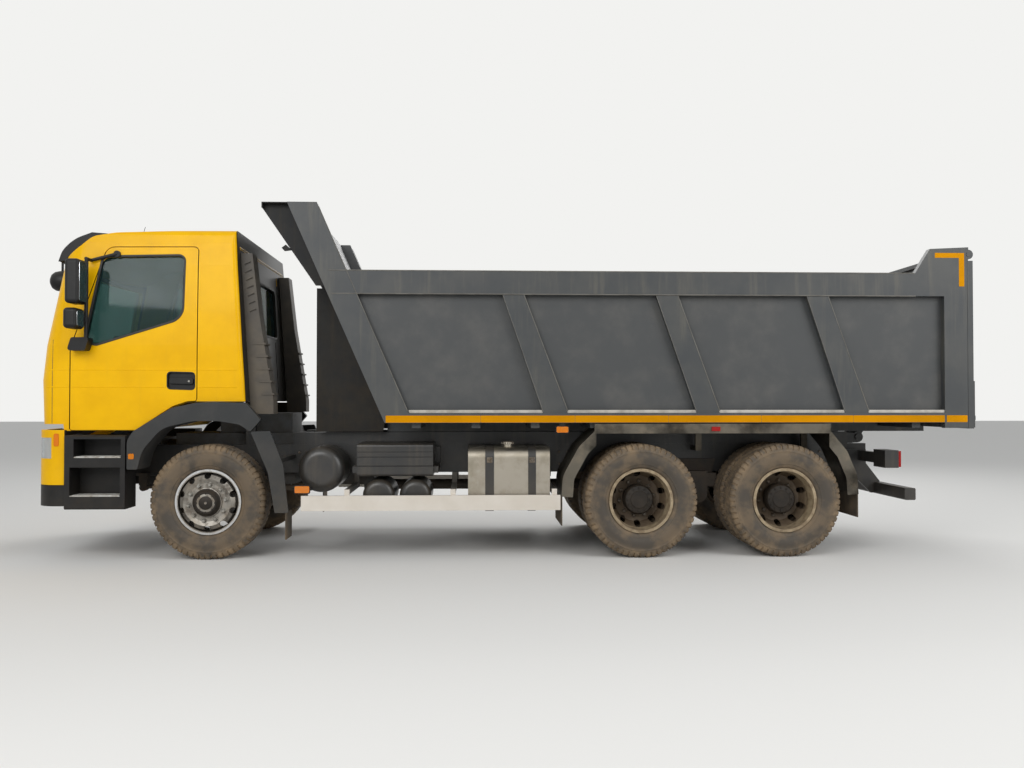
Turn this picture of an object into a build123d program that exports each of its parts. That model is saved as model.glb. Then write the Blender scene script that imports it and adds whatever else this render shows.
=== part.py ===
from build123d import *
from math import atan2, cos, degrees, radians, sin
import os

# Three-axle dump truck. Millimetres. X runs rearward from the front axle, Y = 0 is the
# centreline with the driver's side at -Y, and Z = 0 is the ground. Every piece is moved
# at the end, so that X = 0 is the middle of the whole length.

# Whole vehicle
FRONT_END_X = -1600.0
REAR_END_X = 7170.0
MIDDLE_X = (FRONT_END_X + REAR_END_X) / 2
RUNNING_GAP = 0.3
PIN_GAP = 0.1

# Axles and wheels
WHEELBASE = 3983.0
BOGIE_SPREAD = 1350.0
REAR_AXLES_X = (WHEELBASE, WHEELBASE + BOGIE_SPREAD)
TYRE_RADIUS = 525.0
TYRE_WIDTH = 315.0
AXLE_Z = TYRE_RADIUS
BEAD_RADIUS = 286.0
RIM_FLANGE_RADIUS = 299.0
RIM_HALF_WIDTH = 127.0
RIM_FLANGE = 14.0
RIM_WALL = 13.0
FRONT_WHEEL_Y = 1027.0
REAR_OUTER_WHEEL_Y = 1087.5
REAR_INNER_WHEEL_Y = 737.5
HAND_HOLE_RADIUS = 30.0
HAND_HOLES = 10

# Front axle, knuckles and steering rod
KINGPIN_Y = 850.0
KINGPIN_RADIUS = 25.0
KINGPIN_HALF = 130.0
FIST_HALF = 85.0
FORK_THICK = 36.0
SPINDLE_RADIUS = 48.0
STEER_ARM_X = 175.0
TIE_ROD_RADIUS = 22.0
SPRING_Y = 425.0
SPRING_WIDTH = 90.0
DIFFERENTIAL_RADIUS = 215.0

# Chassis rails
RAIL_OUTER_Y = 425.0
RAIL_FLANGE = 80.0
RAIL_WEB = 9.0
RAIL_BOTTOM_Z = 740.0
RAIL_TOP_Z = 1020.0
RAIL_FRONT_X = -1440.0
RAIL_REAR_X = REAR_AXLES_X[1] + 1097
TOW_SPACING_Y = 160.0
TOW_SPACING_Z = 100.0
TOW_HOLE = 10.5
BOGIE_MIDDLE_X = sum(REAR_AXLES_X) / 2
REAR_MEMBERS_X = (REAR_AXLES_X[0] - 783, BOGIE_MIDDLE_X, REAR_AXLES_X[1] + 567)
CROSS_MEMBERS_X = (-1380.0, 1520.0, 2300.0, *REAR_MEMBERS_X)
GEARBOX_END_X = 1450.0

# Hoist subframe on top of the rails
SUBFRAME_TOP_Z = 1140.0
SUBFRAME_FRONT_X = 640.0
SUBFRAME_REAR_X = RAIL_REAR_X - 190
SUBFRAME_WIDTH = 80.0
SUBFRAME_TIES_X = (680.0, 1420.0, 2500.0, REAR_AXLES_X[0] - 383, BOGIE_MIDDLE_X + 42, REAR_AXLES_X[1] + 367)

# Bed hinge behind the rear axle
BED_HINGE_X = RAIL_REAR_X - 80
BED_HINGE_Z = 1085.0
BED_HINGE_PIN = 32.0
BED_HINGE_BOSS = 58.0
HINGE_EAR_INNER = 365.0

# Hoist cylinder
HOIST_FOOT_X = 1000.0
HOIST_FOOT_Z = 1000.0
HOIST_EYE_Z = 2400.0
HOIST_RADII = (105.0, 88.0, 71.0, 54.0, 37.0)
HOIST_TUBE_GAP = 5.0
HOIST_COLLAR = 45.0
HOIST_PIN = 35.0
HOIST_EAR_INNER = 70.0
HOIST_EAR_OUTER = 100.0
HOIST_EYE_HALF = 30.0
HOIST_NECK = 135.0

# Cab shell
CAB_HALF_WIDTH = 1170.0
CAB_WALL = 60.0
SIDE_DEPTH = CAB_HALF_WIDTH - 170
SIDE_REACH = CAB_HALF_WIDTH + 130
CAB_BOW = 75.0
CAB_TILT_X = -1480.0
CAB_TILT_Z = 1000.0
CAB_TILT_SHAFT = 30.0
CAB_NOSE_Z = 1240.0
CAB_FLOOR_FRONT_Z = 1180.0
CAB_FLOOR_REAR_Z = 1447.0
TILT_ARM_INNER_Y = 440.0
TILT_ARM_OUTER_Y = 500.0
CAB_SUPPORT_X = 215.0
CAB_SUPPORT_TOP = CAB_FLOOR_REAR_Z - RUNNING_GAP
DOOR_SEAM = 8.0
DOOR_FRONT_X = -1240.0
DOOR_REAR_X = -106.0
DOOR_HINGE_INSET = 15.0
DOOR_HINGE_DEPTH = 5.0
DOOR_SILL_GAP = 11.0
GLASS_THICK = 6.0
GRILLE_RELIEF = 5.5
GRILLE_HALF = CAB_HALF_WIDTH - 350
MIRROR_POST_X = -1062.0
MIRROR_POST_Y = -(CAB_HALF_WIDTH + 105)
DUCT_OUTER_Y = CAB_HALF_WIDTH - 185
DUCT_INNER_Y = CAB_HALF_WIDTH - 380

# Bumper, headlamps and cab steps
BUMPER_WALL = 50.0
BUMPER_BACK_X = -1268.0
BUMPER_LOW_Z = 500.0
BUMPER_SPLIT_Z = 688.0
BUMPER_TOP_Z = 1188.0
HEADLAMP_LOW_Z = 930.0
HEADLAMP_HIGH_Z = 1118.0
HEADLAMP_INNER_Y = 800.0
HEADLAMP_DEPTH = 22.0
CORNER_INNER_Y = 640.0
STEP_FRONT_X = -1262.0
STEP_REAR_X = -722.0
STEP_LOW_Z = 470.0
STEP_TOP_Z = 1140.0
STEP_OUTER_Y = CAB_HALF_WIDTH + 66
STEP_INNER_Y = 950.0

# Mudguards, side guard and rear lamps
FLARE_OUTER_Y = CAB_HALF_WIDTH + 75
MUDGUARD_LIP = 105.0
GUARD_FRONT_X = 859.0
GUARD_REAR_X = REAR_AXLES_X[0] - 755
GUARD_HANGERS_X = (1270.0, 2240.0, GUARD_REAR_X - 53)
GUARD_OUTER_Y = 1245.0
TANK_STRAPS_X = ((2537, 2618), (2935, 3007))
UNDERRUN_X = RAIL_REAR_X + 70
TAIL_LAMP_X = RAIL_REAR_X + 32
TAIL_LAMP_INNER_Y = 860.0
MARKER_X = BOGIE_MIDDLE_X + 16

# Bed
BODY_OUTER_Y = 1250.0
SHEET_OUTER_Y = 1180.0
SHEET = 10.0
FLOOR_Z = 1300.0
BEAM_BOTTOM_Z = 1250.0
BEAM_TOP_Z = 1340.0
RAIL_LOW_Z = 2435.0
RAIL_HIGH_Z = 2650.0
POST_TOP_Z = 3273.0
CANOPY_FRONT_X = 476.0
BED_REAR_X = 7066.0
TAILGATE_HINGE_X = 7080.0
TAILGATE_HINGE_Z = 2830.0
TAILGATE_FACE_X = 7125.0
TAILGATE_GAP = 6.0
TAILGATE_LOW_Z = 1192.0
WALL_BACK = 150.0


def block(x0, x1, y0, y1, z0, z1):
    """Box between two corners."""
    centre = ((x0 + x1) / 2, (y0 + y1) / 2, (z0 + z1) / 2)
    return Pos(*centre) * Box(abs(x1 - x0), abs(y1 - y0), abs(z1 - z0))


def side_prism(face, y0, y1):
    """Closed side-view face, extruded across the vehicle from y0 to y1."""
    low, high = min(y0, y1), max(y0, y1)
    return Pos(0, high, 0) * extrude(face, high - low, dir=(0, -1, 0))


def side_polygon(points, radius=0.0):
    """Closed side-view outline in X and Z, with one fillet radius or a list of them."""
    if radius == 0.0:
        return make_face(Plane.XZ * Polyline(*points, close=True))
    return make_face(Plane.XZ * FilletPolyline(*points, radius=radius, close=True))


def cross_cylinder(x, z, radius, y0, y1):
    """Cylinder that lies across the vehicle."""
    middle = (y0 + y1) / 2
    return Pos(x, middle, z) * Rot(90, 0, 0) * Cylinder(radius, abs(y1 - y0))


def upright_cylinder(x, y, radius, z0, z1):
    """Standing cylinder."""
    return Pos(x, y, (z0 + z1) / 2) * Cylinder(radius, abs(z1 - z0))


def long_cylinder(y, z, radius, x0, x1):
    """Cylinder that lies along the vehicle."""
    return Pos((x0 + x1) / 2, y, z) * Rot(0, 90, 0) * Cylinder(radius, abs(x1 - x0))


def other_side(shape):
    """The same piece on the passenger's side."""
    return mirror(shape, about=Plane.XZ)


def both_sides(shape):
    """The piece and its mirrored twin."""
    return [shape, other_side(shape)]


def spin(profile, x, z):
    """Profile of (radius, y) points, revolved about a wheel axis through (x, z)."""
    wire = Polyline(*[(r, y) for r, y in profile], close=True)
    solid = revolve(make_face(Plane.XY * wire), Axis.Y)
    return Pos(x, 0, z) * solid


def save(name, shapes):
    """Write one node, moved to the middle of the vehicle's length."""
    solids = []
    for shape in shapes if isinstance(shapes, list) else [shapes]:
        solids.extend(shape.solids())
    moved = [Pos(-MIDDLE_X, 0, 0) * solid for solid in solids]
    node = moved[0] if len(moved) == 1 else Compound(children=moved)
    export_step(node, f"parts/{name}.step")


# Wheels


def tyre(x, y):
    """Tyre of one wheel: flat tread, rounded shoulders, bulged side walls."""
    half = TYRE_WIDTH / 2
    bead = RIM_HALF_WIDTH - RIM_FLANGE - RUNNING_GAP
    profile = (
        (BEAD_RADIUS + RUNNING_GAP, y - bead),
        (BEAD_RADIUS + RUNNING_GAP, y + bead),
        (RIM_FLANGE_RADIUS + RUNNING_GAP, y + bead),
        (RIM_FLANGE_RADIUS + 14, y + half * 0.85),
        (TYRE_RADIUS * 0.74, y + half),
        (TYRE_RADIUS - 45, y + half * 0.97),
        (TYRE_RADIUS - 12, y + half * 0.87),
        (TYRE_RADIUS, y + half * 0.78),
        (TYRE_RADIUS, y - half * 0.78),
        (TYRE_RADIUS - 12, y - half * 0.87),
        (TYRE_RADIUS - 45, y - half * 0.97),
        (TYRE_RADIUS * 0.74, y - half),
        (RIM_FLANGE_RADIUS + 14, y - half * 0.85),
        (RIM_FLANGE_RADIUS + RUNNING_GAP, y - bead),
    )
    return spin(profile, x, AXLE_Z)


def rim_barrel(x, y):
    """Rolled rim with its drop centre, open along the axis."""
    seat = BEAD_RADIUS
    half = RIM_HALF_WIDTH
    profile = (
        (RIM_FLANGE_RADIUS, y - half),
        (RIM_FLANGE_RADIUS, y - half + RIM_FLANGE - 2),
        (seat, y - half + RIM_FLANGE),
        (seat, y + half - RIM_FLANGE),
        (RIM_FLANGE_RADIUS, y + half - RIM_FLANGE + 2),
        (RIM_FLANGE_RADIUS, y + half),
        (seat - RIM_WALL, y + half),
        (seat - RIM_WALL - 14, y),
        (seat - RIM_WALL, y - half),
    )
    return spin(profile, x, AXLE_Z)


def hand_holes(x, y, radius):
    """Ring of hand holes through a wheel disc."""
    cuts = []
    for index in range(HAND_HOLES):
        angle = radians(360 * index / HAND_HOLES + 18)
        at_x = x + radius * cos(angle)
        at_z = AXLE_Z + radius * sin(angle)
        cuts.append(cross_cylinder(at_x, at_z, HAND_HOLE_RADIUS, y - 90, y + 90))
    return cuts


def front_wheel():
    """Front rim on the driver's side: bulged disc, hub and brake drum in one."""
    y = -FRONT_WHEEL_Y
    disc_y = y - 155
    barrel_inside = BEAD_RADIUS - RIM_WALL - 4
    disc = spin(
        (
            (barrel_inside, y - 60),
            (barrel_inside, y - 76),
            (250, disc_y + 16),
            (215, disc_y - 10),
            (175, disc_y),
            (60, disc_y),
            (60, disc_y + 16),
            (170, disc_y + 16),
            (212, disc_y + 8),
            (240, disc_y + 30),
        ),
        0,
        AXLE_Z,
    )
    hub = spin(
        (
            (SPINDLE_RADIUS + PIN_GAP, disc_y + 150),
            (135, disc_y + 150),
            (135, disc_y - 14),
            (118, disc_y - 20),
            (96, disc_y - 52),
            (0, disc_y - 60),
            (0, disc_y - 20),
            (SPINDLE_RADIUS + PIN_GAP, disc_y - 20),
        ),
        0,
        AXLE_Z,
    )
    drum = spin(
        (
            (120, disc_y + 40),
            (212, disc_y + 40),
            (212, disc_y + 230),
            (198, disc_y + 230),
            (198, disc_y + 54),
            (120, disc_y + 54),
        ),
        0,
        AXLE_Z,
    )
    wheel = rim_barrel(0, y) + disc + hub + drum
    for cut in hand_holes(0, y - 110, 243):
        wheel -= cut
    return wheel


def rear_wheels(x):
    """Twin rear rims on the driver's side, with dished discs, hub and drum in one."""
    outer = -REAR_OUTER_WHEEL_Y
    inner = -REAR_INNER_WHEEL_Y
    plane = (outer + inner) / 2
    barrel_inside = BEAD_RADIUS - RIM_WALL - 4
    outer_disc = spin(
        (
            (barrel_inside, outer + 30),
            (barrel_inside, outer + 44),
            (225, plane - 16),
            (150, plane),
            (60, plane),
            (60, plane - 14),
            (150, plane - 14),
            (219, plane - 32),
        ),
        x,
        AXLE_Z,
    )
    inner_disc = spin(
        (
            (barrel_inside, inner - 30),
            (barrel_inside, inner - 44),
            (225, plane + 16),
            (150, plane),
            (60, plane),
            (60, plane + 14),
            (150, plane + 14),
            (219, plane + 32),
        ),
        x,
        AXLE_Z,
    )
    hub = spin(
        (
            (SPINDLE_RADIUS + PIN_GAP, plane + 120),
            (128, plane + 120),
            (128, plane - 150),
            (112, plane - 178),
            (0, plane - 186),
            (0, plane - 120),
            (SPINDLE_RADIUS + PIN_GAP, plane - 120),
        ),
        x,
        AXLE_Z,
    )
    drum = spin(
        (
            (120, plane + 44),
            (205, plane + 44),
            (205, plane + 250),
            (190, plane + 250),
            (190, plane + 60),
            (120, plane + 60),
        ),
        x,
        AXLE_Z,
    )
    pair = rim_barrel(x, outer) + rim_barrel(x, inner) + outer_disc + inner_disc + hub + drum
    for cut in hand_holes(x, plane - 60, 236):
        pair -= cut
    return pair


# Front axle and steering


def front_axle():
    """Dropped I-beam with fists that hold the kingpins, and its leaf springs."""
    drop = KINGPIN_Y - 310
    beam = block(-45, 45, -drop - 20, drop + 20, AXLE_Z - 130, AXLE_Z - 20)
    beam -= block(25, 46, -drop, drop, AXLE_Z - 108, AXLE_Z - 42)
    beam -= block(-46, -25, -drop, drop, AXLE_Z - 108, AXLE_Z - 42)
    arm_outline = Plane.YZ * Polyline(
        (-drop, AXLE_Z - 130),
        (-drop - 100, AXLE_Z - 120),
        (-KINGPIN_Y, AXLE_Z - 75),
        (-KINGPIN_Y, AXLE_Z + 75),
        (-KINGPIN_Y + 150, AXLE_Z + 10),
        (-drop, AXLE_Z - 20),
        close=True,
    )
    arm = Pos(-40, 0, 0) * extrude(make_face(arm_outline), 80, dir=(1, 0, 0))
    arm += upright_cylinder(0, -KINGPIN_Y, 58, AXLE_Z - FIST_HALF, AXLE_Z + FIST_HALF)
    pin_low, pin_high = AXLE_Z - KINGPIN_HALF, AXLE_Z + KINGPIN_HALF
    arm += upright_cylinder(0, -KINGPIN_Y, KINGPIN_RADIUS, pin_low, pin_high)
    for end in both_sides(arm):
        beam += end
    return beam


LEAF_THICK = 22.0
LEAF_PACK = (
    # half length, depth of the leaf's top below the pack's top
    (820, 0),
    (640, 22),
    (460, 44),
)


def front_springs():
    """Leaf packs between the axle pads and the hangers under the rails."""
    pad_z = AXLE_Z - 20
    pack_top = pad_z + 106
    low, high = SPRING_Y - SPRING_WIDTH / 2, SPRING_Y + SPRING_WIDTH / 2
    pack = block(-75, 75, low, high, pad_z, pad_z + 40)
    for half, drop in LEAF_PACK:
        pack += block(-half, half, low, high, pack_top - drop - LEAF_THICK, pack_top - drop)
    pack += block(-110, 110, low - 14, high + 14, pack_top, pack_top + 24)
    eye_z = pack_top - LEAF_THICK / 2
    for eye_x in (-LEAF_PACK[0][0], LEAF_PACK[0][0]):
        pack += cross_cylinder(eye_x, eye_z, 36, low, high)
        pack += block(eye_x - 40, eye_x + 40, low, high, eye_z + 20, RAIL_BOTTOM_Z)
    return both_sides(pack)


def knuckle():
    """Steering knuckle on the driver's side: fork, spindle and steering arm."""
    y = -KINGPIN_Y
    fork_low = AXLE_Z - FIST_HALF - 5 - FORK_THICK
    fork_high = AXLE_Z + FIST_HALF + 5
    body = block(-62, 62, y - 100, y - 64, fork_low, fork_high + FORK_THICK)
    for z0 in (fork_low, fork_high):
        body += block(-60, 60, y - 66, y, z0, z0 + FORK_THICK)
        body += upright_cylinder(0, y, 60, z0, z0 + FORK_THICK)
    body += cross_cylinder(0, AXLE_Z, SPINDLE_RADIUS, y - 340, y - 66)
    body += cross_cylinder(0, AXLE_Z, 185, y - 112, y - 98)
    body += block(10, STEER_ARM_X + 30, y - 30, y + 30, fork_low, fork_low + 28)
    body -= upright_cylinder(0, y, KINGPIN_RADIUS + PIN_GAP, AXLE_Z - 300, AXLE_Z + 300)
    return body


def tie_rod():
    """Rod across the vehicle behind the axle, just under the two steering arms."""
    fork_low = AXLE_Z - FIST_HALF - 5 - FORK_THICK
    top = fork_low - RUNNING_GAP
    centre_z = top - TIE_ROD_RADIUS - 8
    rod = cross_cylinder(STEER_ARM_X, centre_z, TIE_ROD_RADIUS, -KINGPIN_Y, KINGPIN_Y)
    for side in (-1, 1):
        y = side * (KINGPIN_Y + 4)
        rod += upright_cylinder(STEER_ARM_X, y, 30, centre_z - 30, top)
    return rod


# Rear axles


def rear_axles():
    """Two driven axle housings with their differential bulges, and the propeller shafts."""
    pieces = []
    tube_end = (REAR_OUTER_WHEEL_Y + REAR_INNER_WHEEL_Y) / 2 + 100
    for x in REAR_AXLES_X:
        housing = cross_cylinder(x, AXLE_Z, 75, -640, 640)
        housing += cross_cylinder(x, AXLE_Z, SPINDLE_RADIUS, -tube_end, tube_end)
        bowl = cross_cylinder(x, AXLE_Z, DIFFERENTIAL_RADIUS, -165, 165)
        housing += fillet(bowl.edges().filter_by(GeomType.CIRCLE), 90)
        housing += long_cylinder(0, AXLE_Z + 60, 90, x - 330, x)
        pieces.append(housing)
    front_flange = REAR_AXLES_X[0] - 330 - RUNNING_GAP
    pieces.append(long_cylinder(0, AXLE_Z + 60, 52, GEARBOX_END_X + RUNNING_GAP, front_flange))
    second_flange = REAR_AXLES_X[1] - 330 - RUNNING_GAP
    shaft = long_cylinder(0, AXLE_Z + 60, 45, REAR_AXLES_X[0] + DIFFERENTIAL_RADIUS - 30, second_flange)
    pieces[0] += shaft
    return pieces


def rear_springs():
    """Inverted leaf packs of the bogie on a central trunnion, one on each side."""
    middle = BOGIE_MIDDLE_X
    low, high = 480.0, 580.0
    pack_z = AXLE_Z + 78
    pack = block(REAR_AXLES_X[0] - 70, REAR_AXLES_X[1] + 70, low, high, pack_z, pack_z + 30)
    for half, z0 in ((560, 30), (430, 55), (300, 80), (190, 105)):
        pack += block(middle - half, middle + half, low, high, pack_z + z0, pack_z + z0 + 25)
    pack += block(middle - 100, middle + 100, low - 12, high + 12, pack_z - 40, pack_z + 150)
    pack += cross_cylinder(middle, pack_z - 70, 95, RAIL_OUTER_Y - 40, high + 20)
    bracket = side_polygon(
        ((middle - 210, RAIL_BOTTOM_Z + 130), (middle + 210, RAIL_BOTTOM_Z + 130),
         (middle + 90, pack_z - 150), (middle - 90, pack_z - 150)),
    )
    pack += side_prism(bracket, RAIL_OUTER_Y + RUNNING_GAP, RAIL_OUTER_Y + 40)
    return both_sides(pack)


# Frame


def frame_rails():
    """Two channel rails with their cross members, and the cab's supports."""
    inner = RAIL_OUTER_Y - RAIL_FLANGE
    rail = block(RAIL_FRONT_X, RAIL_REAR_X, inner, RAIL_OUTER_Y, RAIL_BOTTOM_Z, RAIL_TOP_Z)
    hollow_low = RAIL_BOTTOM_Z + RAIL_WEB
    hollow_high = RAIL_TOP_Z - RAIL_WEB
    hollow_y = RAIL_OUTER_Y - RAIL_WEB
    rail -= block(RAIL_FRONT_X - 1, RAIL_REAR_X + 1, inner - 1, hollow_y, hollow_low, hollow_high)
    frame = rail + other_side(rail)
    mid_z = (RAIL_BOTTOM_Z + RAIL_TOP_Z) / 2
    for x in CROSS_MEMBERS_X:
        tube = cross_cylinder(x, mid_z, 60, -hollow_y - 1, hollow_y + 1)
        frame += tube
    frame += block(RAIL_REAR_X - 12, RAIL_REAR_X, -hollow_y - 1, hollow_y + 1, hollow_low, hollow_high)
    for side in (-1, 1):
        for level in (-1, 1):
            y = side * TOW_SPACING_Y / 2
            z = mid_z + level * TOW_SPACING_Z / 2
            frame -= long_cylinder(y, z, TOW_HOLE, RAIL_REAR_X - 30, RAIL_REAR_X + 10)
    head = side_polygon(
        (
            (RAIL_FRONT_X + 60, RAIL_BOTTOM_Z + 20),
            (CAB_TILT_X, CAB_TILT_Z - 60),
            (CAB_TILT_X - 40, CAB_TILT_Z),
            (CAB_TILT_X, CAB_TILT_Z + 60),
            (RAIL_FRONT_X + 60, RAIL_TOP_Z),
        )
    )
    bracket = side_prism(head, RAIL_OUTER_Y - 30, RAIL_OUTER_Y)
    frame += bracket
    frame += other_side(bracket)
    shaft_half = TILT_ARM_OUTER_Y + 12
    frame += cross_cylinder(CAB_TILT_X, CAB_TILT_Z, CAB_TILT_SHAFT, -shaft_half, shaft_half)
    for side in (-1, 1):
        y0, y1 = side * (RAIL_OUTER_Y - 70), side * (RAIL_OUTER_Y - 10)
        frame += block(CAB_SUPPORT_X - 45, CAB_SUPPORT_X + 45, y0, y1, RAIL_TOP_Z - 2, CAB_SUPPORT_TOP)
    span = RAIL_OUTER_Y + 60
    top = CAB_SUPPORT_TOP
    frame += block(CAB_SUPPORT_X - 40, CAB_SUPPORT_X + 40, -span, span, top - 60, top)
    return frame


def subframe():
    """Hoist frame: two rails, cross ties, hoist foot bearings and the bed's hinge bearings."""
    inner = RAIL_OUTER_Y - SUBFRAME_WIDTH
    low = RAIL_TOP_Z + RUNNING_GAP
    frame = block(SUBFRAME_FRONT_X, SUBFRAME_REAR_X, inner, RAIL_OUTER_Y, low, SUBFRAME_TOP_Z)
    frame += other_side(frame)
    for x in SUBFRAME_TIES_X:
        frame += block(x - 35, x + 35, -inner - 1, inner + 1, low + 10, SUBFRAME_TOP_Z - 20)
    cradle_low = HOIST_FOOT_Z - 105
    foot_x0, foot_x1 = HOIST_FOOT_X - 120, HOIST_FOOT_X + 120
    frame += block(foot_x0, foot_x1, -inner + 1, inner - 1, cradle_low, cradle_low + 22)
    for side in (-1, 1):
        y0, y1 = side * HOIST_EAR_INNER, side * HOIST_EAR_OUTER
        ear = side_polygon(
            (
                (HOIST_FOOT_X - 110, cradle_low + 20),
                (HOIST_FOOT_X + 110, cradle_low + 20),
                (HOIST_FOOT_X + 62, HOIST_FOOT_Z + 62),
                (HOIST_FOOT_X - 62, HOIST_FOOT_Z + 62),
            ),
            [0, 0, 50, 50],
        )
        frame += side_prism(ear, y0, y1)
        y_plate = side * (inner - 1)
        plate_top = SUBFRAME_TOP_Z - 30
        frame += block(foot_x0, foot_x1, y_plate, y_plate - side * 18, cradle_low, plate_top)
        frame += block(foot_x0 + 20, foot_x1 - 20, y_plate, side * (inner + 2), low + 10, plate_top)
        frame += cross_cylinder(HOIST_FOOT_X, HOIST_FOOT_Z, HOIST_PIN, 0, y1)
        y0, y1 = side * HINGE_EAR_INNER, side * RAIL_OUTER_Y
        horn = side_polygon(
            (
                (SUBFRAME_REAR_X - 200, low),
                (BED_HINGE_X, low + 8),
                (BED_HINGE_X, BED_HINGE_Z + 40),
                (SUBFRAME_REAR_X - 200, SUBFRAME_TOP_Z),
            )
        )
        frame += side_prism(horn, y0, y1)
        frame += cross_cylinder(BED_HINGE_X, BED_HINGE_Z, BED_HINGE_BOSS - 4, y0, y1)
    reach = RAIL_OUTER_Y + 20
    frame += cross_cylinder(BED_HINGE_X, BED_HINGE_Z, BED_HINGE_PIN, -reach, reach)
    return frame


# Hoist


def hoist_stage(index):
    """One tube of the telescopic hoist at rest, standing on the foot bearing."""
    radius = HOIST_RADII[index]
    foot = HOIST_FOOT_Z + HOIST_NECK + 12 * index
    top = HOIST_EYE_Z - 270 + 45.3 * index
    tube = upright_cylinder(HOIST_FOOT_X, 0, radius, foot, top)
    last = index == len(HOIST_RADII) - 1
    if not last:
        inner = HOIST_RADII[index + 1]
        bottom = foot + 12 - RUNNING_GAP
        tube -= upright_cylinder(HOIST_FOOT_X, 0, inner + HOIST_TUBE_GAP, bottom, top - HOIST_COLLAR)
        tube -= upright_cylinder(HOIST_FOOT_X, 0, inner + RUNNING_GAP, top - HOIST_COLLAR - 1, top + 1)
    if index == 0:
        tube += cross_cylinder(HOIST_FOOT_X, HOIST_FOOT_Z, 68, -60, 60)
        tube += block(HOIST_FOOT_X - 60, HOIST_FOOT_X + 60, -60, 60, HOIST_FOOT_Z, foot + 8)
        tube -= cross_cylinder(HOIST_FOOT_X, HOIST_FOOT_Z, HOIST_PIN + PIN_GAP, -90, 90)
        collar = upright_cylinder(HOIST_FOOT_X, 0, radius + 10, top - HOIST_COLLAR, top)
        collar -= upright_cylinder(HOIST_FOOT_X, 0, radius - 5, top - HOIST_COLLAR - 1, top + 1)
        tube += collar
    elif not last:
        flange = upright_cylinder(HOIST_FOOT_X, 0, radius + 8, top - 30, top)
        flange -= upright_cylinder(HOIST_FOOT_X, 0, radius - 5, top - 31, top + 1)
        tube += flange
    if last:
        half = HOIST_EYE_HALF
        tube += cross_cylinder(HOIST_FOOT_X, HOIST_EYE_Z, 52, -half, half)
        tube += block(HOIST_FOOT_X - 36, HOIST_FOOT_X + 36, -half, half, top - 2, HOIST_EYE_Z)
    return tube


# Cab

CAB_SECTIONS = (
    # height, front face at the centreline, half width, rear wall, corner radius
    (1130, -1576, CAB_HALF_WIDTH, 355, 150),
    (1640, -1594, CAB_HALF_WIDTH, 326, 150),
    (1960, -1560, CAB_HALF_WIDTH, 304, 150),
    (2700, -1416, CAB_HALF_WIDTH - 22, 254, 160),
    (3120, -1320, CAB_HALF_WIDTH - 70, 225, 170),
)


def cab_block(inset):
    """Solid cab body between its level sections, drawn in from the outside by one inset."""
    faces = []
    for z, front, half, rear, corner in CAB_SECTIONS:
        y = half - inset
        x0 = front + inset
        x1 = rear - inset
        side_x = x0 + CAB_BOW + corner
        mid = (side_x - corner * 0.68, y - corner * 0.22)
        bend = x0 + CAB_BOW * 0.72
        outline = [
            ThreePointArc((bend, -(y - corner)), (x0, 0), (bend, y - corner)),
            ThreePointArc((bend, y - corner), mid, (side_x, y)),
            Line((side_x, y), (x1 - 50, y)),
            ThreePointArc((x1 - 50, y), (x1 - 14, y - 14), (x1, y - 50)),
            Line((x1, y - 50), (x1, -(y - 50))),
            ThreePointArc((x1, -(y - 50)), (x1 - 14, -(y - 14)), (x1 - 50, -y)),
            Line((x1 - 50, -y), (side_x, -y)),
            ThreePointArc((side_x, -y), (mid[0], -mid[1]), (bend, -(y - corner))),
        ]
        faces.append(Pos(0, 0, z) * make_face(outline))
    return loft(faces, ruled=True)


def cab_side_face(inset):
    """Side view of the cab: floor steps over the wheel, cambered roof."""
    roof_points = (
        (450, 3036 - inset),
        (222, 3035 - inset),
        (-338, 3027 - inset),
        (-868, 3005 - inset),
        (-1070, 2968 - inset),
        (-1170, 2880 - inset),
        (-1700, 2500),
    )
    if inset < CAB_WALL:
        floor_points = (
            (-1700, CAB_NOSE_Z + inset),
            (-1300, CAB_NOSE_Z + inset),
            (-1290, CAB_FLOOR_FRONT_Z + inset),
            (-646, CAB_FLOOR_FRONT_Z + inset),
            (-320, 1396 + inset),
            (-180, CAB_FLOOR_REAR_Z + inset),
            (450, CAB_FLOOR_REAR_Z + inset),
        )
        floor_radii = [0, 0, 0, 60, 200, 100, 0]
    else:
        floor_points = (
            (-1700, CAB_NOSE_Z + inset),
            (-700, CAB_NOSE_Z + inset),
            (-640, CAB_FLOOR_REAR_Z + inset),
            (450, CAB_FLOOR_REAR_Z + inset),
        )
        floor_radii = [0, 40, 40, 0]
    radii = [0, 0, 400, 500, 160, 90, 0, *floor_radii]
    return side_polygon((*roof_points, *floor_points), radii)


def roof_camber(inset):
    """Front view of the cab: rounded roof edges, slight camber, slanted sides."""
    top = 3040 - inset
    half = CAB_HALF_WIDTH + 40 - inset
    points = (
        (-half, 1000),
        (half, 1000),
        (half, 2500),
        (half - 112, top - 6),
        (0, top + 14),
        (112 - half, top - 6),
        (-half, 2500),
    )
    outline = FilletPolyline(*points, radius=[0, 0, 0, 70, 0, 70, 0], close=True)
    return Pos(-1800, 0, 0) * extrude(make_face(Plane.YZ * outline), 2400, dir=(1, 0, 0))


def cab_solid(inset):
    """Cab form cut to its side view and its front view."""
    face = cab_side_face(inset)
    return cab_block(inset) & side_prism(face, -1400, 1400) & roof_camber(inset)


DOOR_OUTLINE = (
    # corners of the door in X and Z, with their fillet radii
    (DOOR_FRONT_X, CAB_FLOOR_FRONT_Z + 7, 20),
    (DOOR_FRONT_X, 1930, 90),
    (-925, 2862, 90),
    (DOOR_REAR_X, 2868, 40),
    (DOOR_REAR_X, CAB_FLOOR_REAR_Z + 6, 20),
    (-190, CAB_FLOOR_REAR_Z + 2, 60),
    (-322, 1404, 60),
    (-655, CAB_FLOOR_FRONT_Z + 7, 30),
)

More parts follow.
